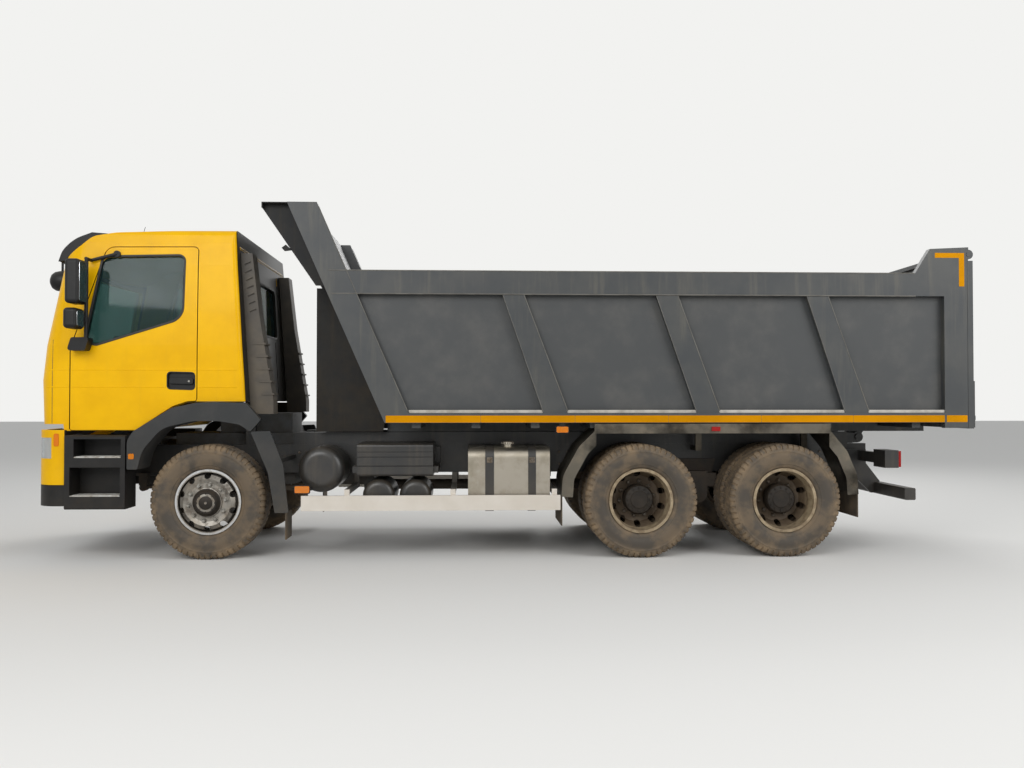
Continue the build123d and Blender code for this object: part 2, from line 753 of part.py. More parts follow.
WINDOW_OUTLINE = (
    # corners of the door window in X and Z, with their fillet radii
    (-1112, 1991, 40),
    (-958, 2768, 60),
    (-232, 2784, 50),
    (-245, 2215, 140),
    (-1010, 1972, 60),
)


def outline_face(table, margin=0.0):
    """Side-view face from a table of corners, grown or shrunk by a margin."""
    points = [(x, z) for x, z, _ in table]
    radii = [r for _, _, r in table]
    face = side_polygon(points, radii)
    if margin == 0.0:
        return face
    return offset(face, amount=margin, kind=Kind.INTERSECTION)


def door_space(face, side):
    """Depth of a door through the side wall; the floor inside the sill stays whole."""
    space = side_prism(face, side * SIDE_DEPTH, side * SIDE_REACH)
    sill = CAB_HALF_WIDTH - CAB_WALL
    return space - block(-1300, 0, side * (SIDE_DEPTH - 10), side * sill, 1100, 1750)


def windscreen_face():
    """Outline of the windscreen seen from the front."""
    low, high = CAB_HALF_WIDTH - 185, CAB_HALF_WIDTH - 230
    corners = ((-low, 1995), (low, 1995), (high, 2668), (-high, 2668))
    return make_face(Plane.YZ * FilletPolyline(*corners, radius=70, close=True))


def rear_window_face():
    """Outline of the window in the cab's rear wall."""
    corners = ((-480, 2130), (480, 2130), (480, 2640), (-480, 2640))
    return make_face(Plane.YZ * FilletPolyline(*corners, radius=70, close=True))


def cab_shell(outer, inner):
    """Pressed cab with its door openings, windscreen and rear window."""
    shell = outer - inner
    for side in (-1, 1):
        shell -= door_space(outline_face(DOOR_OUTLINE, DOOR_SEAM), side)
    shell -= Pos(-1800, 0, 0) * extrude(windscreen_face(), 700, dir=(1, 0, 0))
    shell -= Pos(150, 0, 0) * extrude(rear_window_face(), 300, dir=(1, 0, 0))
    for side in (-1, 1):
        arm = side_polygon(
            (
                (CAB_TILT_X - 42, CAB_TILT_Z - 10),
                (CAB_TILT_X + 20, CAB_TILT_Z - 42),
                (-1040, CAB_FLOOR_FRONT_Z + 10),
                (-1190, CAB_FLOOR_FRONT_Z + 10),
                (CAB_TILT_X - 20, CAB_TILT_Z + 40),
            ),
            [30, 30, 0, 0, 30],
        )
        shell += side_prism(arm, side * TILT_ARM_INNER_Y, side * TILT_ARM_OUTER_Y)
    reach = TILT_ARM_OUTER_Y + 30
    shell -= cross_cylinder(CAB_TILT_X, CAB_TILT_Z, CAB_TILT_SHAFT + PIN_GAP, -reach, reach)
    return shell


def glass_skin():
    """Layer of the cab's form in which every pane lies, behind the outer skin."""
    return cab_solid(20) - cab_solid(20 + GLASS_THICK)


def cab_glass():
    """Windscreen and rear window, set a little behind the outer skin."""
    skin = glass_skin()
    screen = offset(windscreen_face(), amount=-RUNNING_GAP)
    front = skin & (Pos(-1800, 0, 0) * extrude(screen, 700, dir=(1, 0, 0)))
    rear = offset(rear_window_face(), amount=-RUNNING_GAP)
    back = skin & (Pos(150, 0, 0) * extrude(rear, 300, dir=(1, 0, 0)))
    return [front, back]


def cab_door(outer, inner):
    """Driver's door: the cab's own wall within the seam, with its window and hinge edge."""
    wall = outer - inner
    door = wall & door_space(outline_face(DOOR_OUTLINE), -1)
    door -= side_prism(outline_face(WINDOW_OUTLINE), -SIDE_DEPTH, -SIDE_REACH)
    sill = CAB_HALF_WIDTH - CAB_WALL
    sill_top = CAB_FLOOR_REAR_Z + CAB_WALL + DOOR_SILL_GAP
    door -= block(DOOR_FRONT_X, DOOR_REAR_X, -SIDE_DEPTH, -(sill + DOOR_SILL_GAP), 1100, sill_top)
    edge_x = DOOR_FRONT_X + DOOR_HINGE_INSET
    edge_y = -(CAB_HALF_WIDTH - DOOR_HINGE_DEPTH)
    low, high = CAB_FLOOR_FRONT_Z, 2000
    corner = block(DOOR_FRONT_X - 1, edge_x, edge_y, -SIDE_REACH, low, high)
    corner -= upright_cylinder(edge_x, edge_y, DOOR_HINGE_INSET, low - 1, high + 1)
    door -= corner
    recess = side_polygon(((-372, 1560), (-120, 1552), (-120, 1712), (-372, 1718)), 34)
    door -= side_prism(recess, -(CAB_HALF_WIDTH - 28), -SIDE_REACH)
    handle = side_polygon(((-352, 1612), (-140, 1606), (-140, 1656), (-352, 1660)), 16)
    grip = side_prism(handle, -(CAB_HALF_WIDTH - 20), -(CAB_HALF_WIDTH - 4))
    for x in (-342, -160):
        grip += block(x, x + 14, -(CAB_HALF_WIDTH - 6), -(CAB_HALF_WIDTH - 30), 1618, 1648)
    return door + grip


def door_glass():
    """Pane of the driver's door, set into the door's thickness."""
    face = outline_face(WINDOW_OUTLINE, -RUNNING_GAP)
    return glass_skin() & side_prism(face, -(CAB_HALF_WIDTH - 110), -SIDE_REACH)


MIRROR_HEADS = (
    # front X, rear X, bottom Z, top Z, inner and outer distance from the cab's side, corner radius
    (-1170, -1043, 2313, 2709, 120, 330, 34),
    (-1186, -1065, 2092, 2276, 120, 320, 34),
)


def door_mirrors():
    """Two mirror heads on a tubular post, which the driver's door carries."""
    post = upright_cylinder(MIRROR_POST_X, MIRROR_POST_Y, 17, 1975, 2745)
    for x0, x1, z0, z1, near, far, radius in MIRROR_HEADS:
        y0, y1 = -(CAB_HALF_WIDTH + near), -(CAB_HALF_WIDTH + far)
        head = block(x0, x1, y0, y1, z0, z1)
        post += fillet(head.edges(), radius)
        mid = (z0 + z1) / 2
        arm_x0, arm_x1 = MIRROR_POST_X - 40, MIRROR_POST_X + 10
        post += block(arm_x0, arm_x1, MIRROR_POST_Y - 30, y0 + 5, mid - 18, mid + 18)
    foot = side_polygon(((-1226, 1905), (-1066, 1905), (-1030, 2025), (-1190, 2025)), 24)
    post += side_prism(foot, -(CAB_HALF_WIDTH + RUNNING_GAP), MIRROR_POST_Y - 18)
    side = CAB_HALF_WIDTH
    reach = cross_cylinder(MIRROR_POST_X, 2735, 15, MIRROR_POST_Y - 15, -(side - 5))
    brace = Polyline((MIRROR_POST_X, -(side + 2), 2735), (-835, -(side - 13), 2798))
    plane = Plane(origin=brace @ 0, z_dir=brace % 0)
    post += reach
    post += extrude(plane * Circle(15), (brace @ 1 - brace @ 0).length)
    post += cross_cylinder(-835, 2798, 30, -(side - 6), -(side - 29))
    return post


FLARE_OUTLINE = (
    # corners in X and Z, with their fillet radii
    (-704, 831, 12),
    (-704, 1096, 120),
    (-648, 1178, 60),
    (-305, 1390, 200),
    (-71, 1436, 100),
    (357, 1436, 60),
    (493, 1280, 20),
    (398, 1172, 20),
    (300, 1236, 60),
    (120, 1268, 300),
    (-120, 1268, 300),
    (-395, 1206, 260),
    (-570, 1000, 300),
    (-612, 831, 12),
)


def strip_face(points, radii, thick):
    """Side-view strip along a path, to its left or, for a negative thickness, its right."""
    path = FilletPolyline(*points, radius=radii)
    side = Side.LEFT if thick > 0 else Side.RIGHT
    return make_face(Plane.XZ * offset(path, amount=abs(thick), side=side))


def arch_sheet(points, radii, thick, y0, y1):
    """Bent sheet along a side-view path, running across the vehicle."""
    return side_prism(strip_face(points, radii, thick), y0, y1)


def wheel_flare():
    """Wheel arch flare on the driver's side of the cab, with its inner mudguard sheet."""
    flare = side_prism(outline_face(FLARE_OUTLINE), -(CAB_HALF_WIDTH + RUNNING_GAP), -FLARE_OUTER_Y)
    path = [(x, z) for x, z, _ in FLARE_OUTLINE[8:]]
    radii = [r for _, _, r in FLARE_OUTLINE[9:-1]]
    sheet = arch_sheet(path, radii, -12, -905, -(CAB_HALF_WIDTH + 20))
    return flare + sheet


def sun_visor():
    """Bowed visor above the windscreen, with its end cheeks, and the kerb mirror."""
    bow_radius = (1000**2 + CAB_BOW**2) / (2 * CAB_BOW)
    axis_x = -1600 + bow_radius
    blade = side_polygon(
        (
            (-1180, 3008),
            (-1330, 2950),
            (-1440, 2850),
            (-1484, 2742),
            (-1474, 2738),
            (-1430, 2836),
            (-1322, 2936),
            (-1180, 2992),
        ),
        [2, 120, 80, 3, 3, 70, 110, 2],
    )
    half_angle = degrees(atan2(CAB_HALF_WIDTH - 120, bow_radius - 150))
    axis = Axis((axis_x, 0, 0), (0, 0, 1))
    return revolve(blade.rotate(axis, -half_angle), axis, 2 * half_angle)


def front_mirror():
    """Round kerb mirror on its arm, which hangs from the visor."""
    y = -760.0
    dome = Pos(-1512, y, 2592) * Rot(0, 90, 0) * Cylinder(95, 56)
    dome = fillet(dome.edges().filter_by(GeomType.CIRCLE).sort_by(Axis.X)[0], 48)
    back = Pos(-1512 + 30, y, 2592) * Rot(0, 90, 0) * Cylinder(90, 6)
    arm = upright_cylinder(-1490, y, 11, 2600, 2770)
    arm += long_cylinder(y, 2770, 11, -1490, -1392)
    return dome + back + arm


def cab_rear_x(z):
    """Rear wall of the cab at a height, between two rows of its section table."""
    for low, high in zip(CAB_SECTIONS, CAB_SECTIONS[1:]):
        if z <= high[0]:
            break
    return low[3] + (high[3] - low[3]) * (z - low[0]) / (high[0] - low[0])


DUCT_REAR = (
    # rear edge of the intake duct in X and Z
    (554, 1330),
    (554, 1460),
    (420, 2250),
    (352, 2838),
)
DUCT_FRONT_Z = (2838.0, 2700.0, 1960.0, 1640.0, 1330.0)


def intake_duct():
    """Air duct up the back of the cab: flat sides, raised bands and slots in its upper half."""
    front = tuple((cab_rear_x(z) + RUNNING_GAP, z) for z in DUCT_FRONT_Z)
    duct = side_prism(side_polygon((*DUCT_REAR, *front)), -DUCT_OUTER_Y, -DUCT_INNER_Y)
    for index in range(7):
        z = 2740 - index * 74
        x = 300 + (2838 - z) * 0.115
        duct -= Pos(x, -DUCT_OUTER_Y, z) * Rot(0, -24, 0) * Box(64, 26, 16)
    for index in range(5):
        z = 1980 - index * 118
        lean = (2250 - z) * 0.17
        duct += block(322 + lean, 434 + lean, -(DUCT_OUTER_Y + 8), -(DUCT_INNER_Y - 8), z, z + 16)
    return duct


def seats():
    """Driver's and passenger's seats on their plinths."""
    pieces = []
    for y in (-520.0, 520.0):
        floor = CAB_FLOOR_REAR_Z + CAB_WALL + RUNNING_GAP
        base = block(-630, -380, y - 190, y + 190, floor, floor + 130)
        cushion = fillet(block(-820, -330, y - 250, y + 250, floor + 110, floor + 240).edges(), 45)
        back = fillet(block(-380, -260, y - 245, y + 245, floor + 150, floor + 830).edges(), 45)
        rest = fillet(block(-370, -285, y - 140, y + 140, floor + 800, floor + 1010).edges(), 36)
        lean = Axis((-320, y, floor + 200), (0, 1, 0))
        back = (back + rest).rotate(lean, 9)
        pieces.append(base + cushion + back)
    return pieces


def dashboard():
    """Dashboard under the windscreen, with the steering column and wheel."""
    outline = side_polygon(
        (
            (-1395, 1500),
            (-1395, 1960),
            (-1300, 1985),
            (-1080, 1950),
            (-960, 1830),
            (-1010, 1640),
            (-1160, 1560),
        ),
        [10, 60, 60, 60, 60, 60, 30],
    )
    dash = side_prism(outline, -SIDE_DEPTH, SIDE_DEPTH)
    wheel_centre = (-880, -520, 1960)
    tilt = Pos(*wheel_centre) * Rot(0, 32, 0)
    dash += tilt * Torus(215, 16)
    dash += tilt * Pos(0, 0, -20) * Cylinder(62, 40)
    dash += tilt * Pos(0, 0, -10) * Box(410, 34, 12)
    dash += tilt * Pos(0, 0, -10) * Box(34, 410, 12)
    dash += tilt * Pos(0, 0, -150) * Cylinder(34, 280)
    return dash


def front_grille():
    """Black grille slats on the front panel."""
    skin = cab_solid(-GRILLE_RELIEF) - cab_solid(-RUNNING_GAP)
    slats = []
    for index in range(4):
        z = 1330 + index * 92
        slats.append(skin & block(-1700, -1300, -GRILLE_HALF, GRILLE_HALF, z, z + 62))
    return slats


# Front end of the chassis


def bumper_plan(inset):
    """Plan view of the bumper: bowed front, round corners."""
    front = FRONT_END_X + inset
    half = CAB_HALF_WIDTH + 52 - inset
    corner = 190.0 - inset
    side_x = front + CAB_BOW + corner
    bend = front + CAB_BOW * 0.76
    mid = (side_x - corner * 0.7, half - corner * 0.25)
    return [
        ThreePointArc((bend, -(half - corner)), (front, 0), (bend, half - corner)),
        ThreePointArc((bend, half - corner), mid, (side_x, half)),
        Line((side_x, half), (-1100, half)),
        Line((-1100, half), (-1100, -half)),
        Line((-1100, -half), (side_x, -half)),
        ThreePointArc((side_x, -half), (mid[0], -mid[1]), (bend, -(half - corner))),
    ]


def bumper_ring(z0, z1, inset=0.0, wall=BUMPER_WALL):
    """Band of the bumper between two heights, open at the back."""
    upward = (0, 0, 1)
    outer = Pos(0, 0, z0) * extrude(make_face(bumper_plan(inset)), z1 - z0, dir=upward)
    core = extrude(make_face(bumper_plan(inset + wall)), z1 - z0 + 2, dir=upward)
    inner = Pos(0, 0, z0 - 1) * core
    ring = outer - inner
    return ring & block(FRONT_END_X - 10, BUMPER_BACK_X, -SIDE_REACH, SIDE_REACH, z0, z1)


def lower_bumper():
    """Black bumper across the front: lower band, and the upper band between the lamps."""
    band = bumper_ring(BUMPER_LOW_Z, BUMPER_SPLIT_Z)
    reach = CORNER_INNER_Y - 3
    upper = bumper_ring(BUMPER_SPLIT_Z - 1, BUMPER_TOP_Z - 8, 8.0, BUMPER_WALL - 8)
    upper &= block(-1700, -1300, -reach, reach, BUMPER_SPLIT_Z - 1, BUMPER_TOP_Z)
    for index in range(4):
        z = 770 + index * 92
        upper -= block(-1700, -1574, -reach + 60, reach - 60, z, z + 46)
    band += upper
    for side in (-1, 1):
        y0, y1 = side * (RAIL_OUTER_Y - 40), side * RAIL_OUTER_Y
        band += block(-1560, RAIL_FRONT_X - RUNNING_GAP, y0, y1, RAIL_BOTTOM_Z, RAIL_BOTTOM_Z + 110)
    return band


def bumper_corners():
    """Yellow corner panels with a pocket for each headlamp."""
    pieces = []
    band = bumper_ring(BUMPER_SPLIT_Z + 4, BUMPER_TOP_Z)
    pocket = bumper_ring(HEADLAMP_LOW_Z, HEADLAMP_HIGH_Z, 0.0, HEADLAMP_DEPTH)
    for side in (-1, 1):
        corner = band & block(-1700, -1200, side * CORNER_INNER_Y, side * SIDE_REACH, 600, 1300)
        lamp_space = pocket & block(-1700, -1385, side * HEADLAMP_INNER_Y, side * SIDE_REACH, 800, 1200)
        pieces.append(corner - lamp_space)
    return pieces


def headlamps():
    """Headlamp lenses that follow the corner of the bumper."""
    pieces = []
    low, high = HEADLAMP_LOW_Z + RUNNING_GAP, HEADLAMP_HIGH_Z - RUNNING_GAP
    lens = bumper_ring(low, high, 2.0, HEADLAMP_DEPTH - 2 - RUNNING_GAP)
    for side in (-1, 1):
        y0 = side * (HEADLAMP_INNER_Y + RUNNING_GAP)
        pieces.append(lens & block(-1700, -1385 - RUNNING_GAP, y0, side * SIDE_REACH, 800, 1200))
    return pieces


STEP_WELLS = (
    # front X, rear X, floor Z, ceiling Z
    (-1215, -766, 586, 850),
    (-1180, -760, 936, 1106),
)


def cab_steps():
    """Step housing below the driver's door: two wells with their treads, and its bracket."""
    body = block(STEP_FRONT_X, STEP_REAR_X, -STEP_OUTER_Y, -STEP_INNER_Y, STEP_LOW_Z, STEP_TOP_Z)
    upright = [e for e in body.edges().filter_by(Axis.X) if e.center().Y < -STEP_OUTER_Y + 1]
    body = chamfer(upright, 14)
    for x0, x1, z0, z1 in STEP_WELLS:
        body -= block(x0, x1, -STEP_OUTER_Y - 1, -STEP_INNER_Y - 40, z0, z1)
        for index in range(4):
            y = -STEP_OUTER_Y + 28 + index * 52
            body += block(x0 + 20, x1 - 20, y, y + 16, z0 - 1, z0 + 9)
    for z0 in (RAIL_BOTTOM_Z + 40, RAIL_TOP_Z - 80):
        body += block(-1010, -950, -STEP_INNER_Y - 1, -RAIL_OUTER_Y - RUNNING_GAP, z0, z0 + 40)
    return body


def engine_block():
    """Engine with its gearbox as one plain mass, and the radiator in front."""
    engine = block(-540, 640, -335, 335, 620, 1130)
    engine += block(-120, 600, -260, 260, 1129, 1330)
    engine += long_cylinder(0, 820, 180, 639, 841)
    engine += block(840, GEARBOX_END_X - 40, -190, 190, 600, HOIST_FOOT_Z - 125)
    engine += long_cylinder(0, AXLE_Z + 60, 70, 1300, GEARBOX_END_X)
    for side in (-1, 1):
        y1 = side * (RAIL_OUTER_Y - RAIL_WEB - RUNNING_GAP)
        engine += block(-60, 60, side * 334, y1, 800, 860)
    radiator = block(-1310, -1180, -RAIL_OUTER_Y + 90, RAIL_OUTER_Y - 90, 600, 1150)
    radiator += block(-1180, -700, -300, 300, 700, 1080)
    radiator += long_cylinder(0, 890, 170, -701, -541)
    return [engine, radiator]


# Chassis equipment


def fuel_tank():
    """Aluminium tank with rounded corners and a filler neck."""
    outline = Plane.YZ * FilletPolyline(
        (-1170, 431), (-480, 431), (-480, 1020), (-1170, 1020), radius=[95, 50, 50, 95], close=True
    )
    tank = Pos(2378, 0, 0) * extrude(make_face(outline), 759, dir=(1, 0, 0))
    tank += upright_cylinder(2748, -1040, 46, 1015, 1046)
    tank += upright_cylinder(2748, -1040, 56, 1046, 1066)
    return tank


def tank_straps():
    """Brackets under the tank and the straps that hold it down."""
    pieces = []
    outline = FilletPolyline(
        (-1170, 431), (-480, 431), (-480, 1020), (-1170, 1020), radius=[95, 50, 50, 95], close=True
    )
    tank_face = make_face(Plane.YZ * outline)
    inner = offset(tank_face, amount=RUNNING_GAP)
    outer = offset(tank_face, amount=7)
    for x0, x1 in TANK_STRAPS_X:
        band = extrude(outer, x1 - x0, dir=(1, 0, 0)) - extrude(inner, x1 - x0, dir=(1, 0, 0))
        band = Pos(x0, 0, 0) * band
        mid = (x0 + x1) / 2
        band += block(mid - 30, mid + 30, -474, -RAIL_OUTER_Y - RUNNING_GAP, 640, 1000)
        pieces.append(band)
    return pieces


AIR_TANKS = (
    # X, Z, radius, inner end, outer end
    (1012, 815, 215, -520, -1100),
    (1545, 573, 148, -480, -1100),
    (1886, 573, 148, -480, -1100),
)


def air_tank(x, z, radius, y0, y1):
    """Pressure vessel across the vehicle with two domed ends, on a bracket to the rail."""
    tank = cross_cylinder(x, z, radius, y0, y1)
    tank = fillet(tank.edges().filter_by(GeomType.CIRCLE), radius * 0.4)
    inner_end = y0
    if z + radius > RAIL_BOTTOM_Z:
        bracket = block(x - 60, x + 60, inner_end - 20, -RAIL_OUTER_Y - RUNNING_GAP, z - 40, z + 60)
    else:
        rail_y = -RAIL_OUTER_Y + RAIL_FLANGE - 5
        top = RAIL_BOTTOM_Z - RUNNING_GAP
        bracket = block(x - 60, x + 60, inner_end - 20, rail_y, z + radius - 40, top)
        bracket -= block(x - 61, x + 61, inner_end - 8, rail_y + 1, z + radius - 41, top - 14)
    return tank + bracket


def equipment_box():
    """Ribbed two-tier box beside the rail, with its brackets."""
    box = block(1349, 2052, -1120, -470, 753, 1052)
    side = [e for e in box.edges().filter_by(Axis.X)]
    box = fillet(side, 24)
    box -= block(1340, 2060, -1121, -1100, 842, 852)
    box -= block(1340, 2060, -1121, -1108, 925, 935)
    box -= block(1340, 2060, -1121, -1108, 975, 981)
    for x0 in (1302.0, 2051.0):
        box += block(x0, x0 + 48, -1060, -RAIL_OUTER_Y - RUNNING_GAP, 780, 840)
        box += block(x0, x0 + 48, -520, -RAIL_OUTER_Y - RUNNING_GAP, 780, 1000)
    return box


def side_guard():
    """Aluminium side guard on hangers from the rail."""
    beam = block(GUARD_FRONT_X, GUARD_REAR_X, -GUARD_OUTER_Y, -GUARD_OUTER_Y + 30, 448, 586)
    arm_y = -GUARD_OUTER_Y + 29
    rail_y = -RAIL_OUTER_Y + 40
    for x in GUARD_HANGERS_X:
        beam += block(x - 24, x + 24, arm_y, rail_y, 596, 640)
        beam += block(x - 24, x + 24, arm_y, arm_y + 26, 450, 640)
        beam += block(x - 24, x + 24, rail_y - 60, rail_y, 596, RAIL_BOTTOM_Z - RUNNING_GAP)
    return beam


def silencer():
    """Exhaust silencer on the passenger's side, with its tail pipe and brackets."""
    outline = Plane.YZ * FilletPolyline(
        (520, 500), (1150, 500), (1150, 1000), (520, 1000), radius=90, close=True
    )
    body = Pos(2400, 0, 0) * extrude(make_face(outline), 700, dir=(1, 0, 0))
    body += long_cylinder(700, 900, 62, 3095, 3200)
    for x in (2500.0, 2950.0):
        body += block(x, x + 60, RAIL_OUTER_Y + RUNNING_GAP, 521, 800, 960)
    return body


MUDGUARD_PATH = (
    # corners of the rear mudguard's sheet in X and Z, with their fillet radii
    (REAR_AXLES_X[0] - 745, 570, 0),
    (REAR_AXLES_X[0] - 733, 760, 240),
    (REAR_AXLES_X[0] - 583, 1030, 160),
    (REAR_AXLES_X[0] - 423, 1186, 40),
    (REAR_AXLES_X[1] + 412, 1186, 40),
    (REAR_AXLES_X[1] + 579, 985, 160),
    (REAR_AXLES_X[1] + 675, 760, 240),
    (REAR_AXLES_X[1] + 685, 582, 0),
)


def rear_mudguard():
    """Mudguard over both rear wheels: arched sheet, side lip and outer rail."""
    points = [(x, z) for x, z, _ in MUDGUARD_PATH]
    radii = [r for _, _, r in MUDGUARD_PATH[1:-1]]
    sheet = arch_sheet(points, radii, -8, -600, -BODY_OUTER_Y + 5)
    lip = arch_sheet(points, radii, -MUDGUARD_LIP, -BODY_OUTER_Y + 5, -BODY_OUTER_Y + 17)
    flat_start, flat_end = MUDGUARD_PATH[3][0], MUDGUARD_PATH[4][0]
    lip -= block(flat_start, flat_end, -BODY_OUTER_Y - 10, -BODY_OUTER_Y + 50, 900, 1150)
    rail = block(flat_start - 15, flat_end + 12, -BODY_OUTER_Y + 5, -BODY_OUTER_Y + 35, 1150, 1240)
    guard = sheet + lip + rail
    for x in (flat_start, BOGIE_MIDDLE_X, flat_end - 25):
        guard += block(x - 30, x + 30, -610, -RAIL_OUTER_Y - RUNNING_GAP, 960, 1000)
        guard += block(x - 30, x + 30, -640, -600, 960, 1186)
    return guard


FRONT_GUARD_OUTLINE = (
    # corners in X and Z, with their fillet radii
    (402, 1170, 10),
    (575, 1178, 20),
    (697, 869, 200),
    (744, 433, 10),
    (622, 433, 10),
    (560, 800, 200),
)


def front_mudguard():
    """Rear half of the front mudguard, which stays on the chassis, with its bracket."""
    face = outline_face(FRONT_GUARD_OUTLINE)
    lip = side_prism(face, -FLARE_OUTER_Y, -FLARE_OUTER_Y + 22)
    sheet = arch_sheet(((430, 1170), (590, 800), (652, 433)), [200], 10, -FLARE_OUTER_Y + 5, -960)
    guard = lip + sheet
    guard += block(600, 660, -1230, -RAIL_OUTER_Y - RUNNING_GAP, 880, 920)
    guard += block(536, 601, -1100, -1040, 880, 920)
    return guard


FLAPS = (
    # X, inner Y, outer Y, bottom Z, top Z
    (716, -960, -FLARE_OUTER_Y + 10, 188, 432.7),
    (REAR_AXLES_X[0] - 746, -600, -1230, 301, 569.0),
    (REAR_AXLES_X[1] + 676, -600, -1230, 366, 581.0),
)


def mud_flaps():
    """Rubber flaps below the mudguards on both sides."""
    pieces = []
    for x, y0, y1, z0, z1 in FLAPS:
        flap = block(x, x + 10, y0, y1, z0, z1)
        pieces.extend(both_sides(flap))
    return pieces


def underrun_bar():
    """Bar across the rear on its two hangers, with the lamp carriers."""
    end = RAIL_REAR_X
    bar = block(UNDERRUN_X, UNDERRUN_X + 105, -1150, 1150, 515, 628)
    bar = fillet(bar.edges().filter_by(Axis.Y), 14)
    low = ((UNDERRUN_X + 60, 640), (UNDERRUN_X + 60, 520), (UNDERRUN_X - 30, 520))
    hanger = side_polygon(((end - 230, 960), (end - 10, 960), (end - 10, 820), *low, (end - 230, 780)))
    for side in (-1, 1):
        y0, y1 = side * (RAIL_OUTER_Y + RUNNING_GAP), side * (RAIL_OUTER_Y + 30)
        bar += side_prism(hanger, y0, y1)
        bar += block(end - 90, end - 30, y0, side * (TAIL_LAMP_INNER_Y + 10), 850, 950)
        bar += block(end - 100, TAIL_LAMP_X, side * (TAIL_LAMP_INNER_Y - 10), side * 1110, 816, 982)
    return bar


def lamps():
    """Red rear lamps, and amber side markers."""
    lens = block(TAIL_LAMP_X + RUNNING_GAP, TAIL_LAMP_X + 26, -TAIL_LAMP_INNER_Y, -1104, 824, 976)
    rail_y = -(BODY_OUTER_Y - 5 + RUNNING_GAP)
    marker = block(MARKER_X - 40, MARKER_X + 40, rail_y, -(BODY_OUTER_Y + 10), 1172, 1212)
    return both_sides(lens) + both_sides(marker)


# Bed


def slant_x(z, top_x, low_x, top_z, low_z):
    """X of a slanted side-view line at a height."""
    return low_x + (top_x - low_x) * (z - low_z) / (top_z - low_z)


def post_front_x(z):
    """Front edge of the slanted front post."""
    return slant_x(z, 721.0, 1589.0, POST_TOP_Z, 1309.0)


def post_rear_x(z):
    """Rear edge of the slanted front post."""
    return slant_x(z, 992.0, 1846.0, POST_TOP_Z, 1309.0)


def bed_tub():
    """Steel tub: floor, two side sheets and the slanted front wall."""
    wall_low = post_front_x(FLOOR_Z) + WALL_BACK
    wall_high = post_front_x(POST_TOP_Z) + WALL_BACK
    side = side_polygon(
        (
            (wall_low, FLOOR_Z),
            (BED_REAR_X, FLOOR_Z),
            (BED_REAR_X, RAIL_HIGH_Z),
            (post_rear_x(RAIL_HIGH_Z), RAIL_HIGH_Z),
            (post_rear_x(POST_TOP_Z), POST_TOP_Z),
            (wall_high, POST_TOP_Z),
        )
    )
    tub = block(wall_low, BED_REAR_X, -SHEET_OUTER_Y, SHEET_OUTER_Y, FLOOR_Z, FLOOR_Z + SHEET)
    wall = side_polygon(
        (
            (wall_low, FLOOR_Z),
            (wall_low + SHEET, FLOOR_Z),
            (wall_high + SHEET, POST_TOP_Z),
            (wall_high, POST_TOP_Z),
        )
    )
    tub += side_prism(wall, -SHEET_OUTER_Y, SHEET_OUTER_Y)
    for sign in (-1, 1):
        tub += side_prism(side, sign * (SHEET_OUTER_Y - SHEET), sign * SHEET_OUTER_Y)
    return tub


RIBS = (
    # front and rear X at the top rail, front and rear X at the bottom beam
    (2695, 2891, 3067, 3297),
    (4120, 4322, 4495, 4713),
    (5538, 5740, 5894, 6122),
)


def bed_frame_side():
    """Outer frame of the driver's side: posts, ribs, top rail, bottom beam and hinge ear."""
    y0, y1 = -(SHEET_OUTER_Y + RUNNING_GAP), -BODY_OUTER_Y
    post = side_polygon(
        (
            (post_front_x(BEAM_BOTTOM_Z), BEAM_BOTTOM_Z),
            (post_rear_x(BEAM_BOTTOM_Z), BEAM_BOTTOM_Z),
            (post_rear_x(POST_TOP_Z), POST_TOP_Z),
            (post_front_x(POST_TOP_Z), POST_TOP_Z),
        )
    )
    frame = side_prism(post, y0, y1)
    frame += block(post_rear_x(RAIL_LOW_Z) - 120, BED_REAR_X, y0, y1, RAIL_LOW_Z, RAIL_HIGH_Z)
    frame += block(post_front_x(BEAM_BOTTOM_Z) + 90, BED_REAR_X, y0, y1, BEAM_BOTTOM_Z, BEAM_TOP_Z)
    frame += block(post_rear_x(BEAM_TOP_Z) - 40, BED_REAR_X - 4, y0, y1 + 12, BEAM_TOP_Z - 1, BEAM_TOP_Z + 16)
    for top0, top1, low0, low1 in RIBS:
        rib = side_polygon(
            (
                (low0, BEAM_TOP_Z - 1),
                (low1, BEAM_TOP_Z - 1),
                (top1, RAIL_LOW_Z + 1),
                (top0, RAIL_LOW_Z + 1),
            )
        )
        frame += side_prism(rib, y0, y1 + 6)
    ear = side_polygon(
        (
            (6845, 1198),
            (BED_REAR_X, 1198),
            (BED_REAR_X, TAILGATE_HINGE_Z - 45),
            (TAILGATE_HINGE_X, TAILGATE_HINGE_Z - 45),
            (TAILGATE_HINGE_X, 2898),
            (6712, 2880),
            (6567, RAIL_HIGH_Z - 2),
            (6567, RAIL_LOW_Z + 20),
            (6845, RAIL_LOW_Z + 20),
        )
    )
    frame += side_prism(ear, y0, y1)
    frame += cross_cylinder(TAILGATE_HINGE_X, TAILGATE_HINGE_Z, 45, y0, y1)
    frame += cross_cylinder(TAILGATE_HINGE_X, TAILGATE_HINGE_Z, 20, -1125, y1 - 5)
    return frame


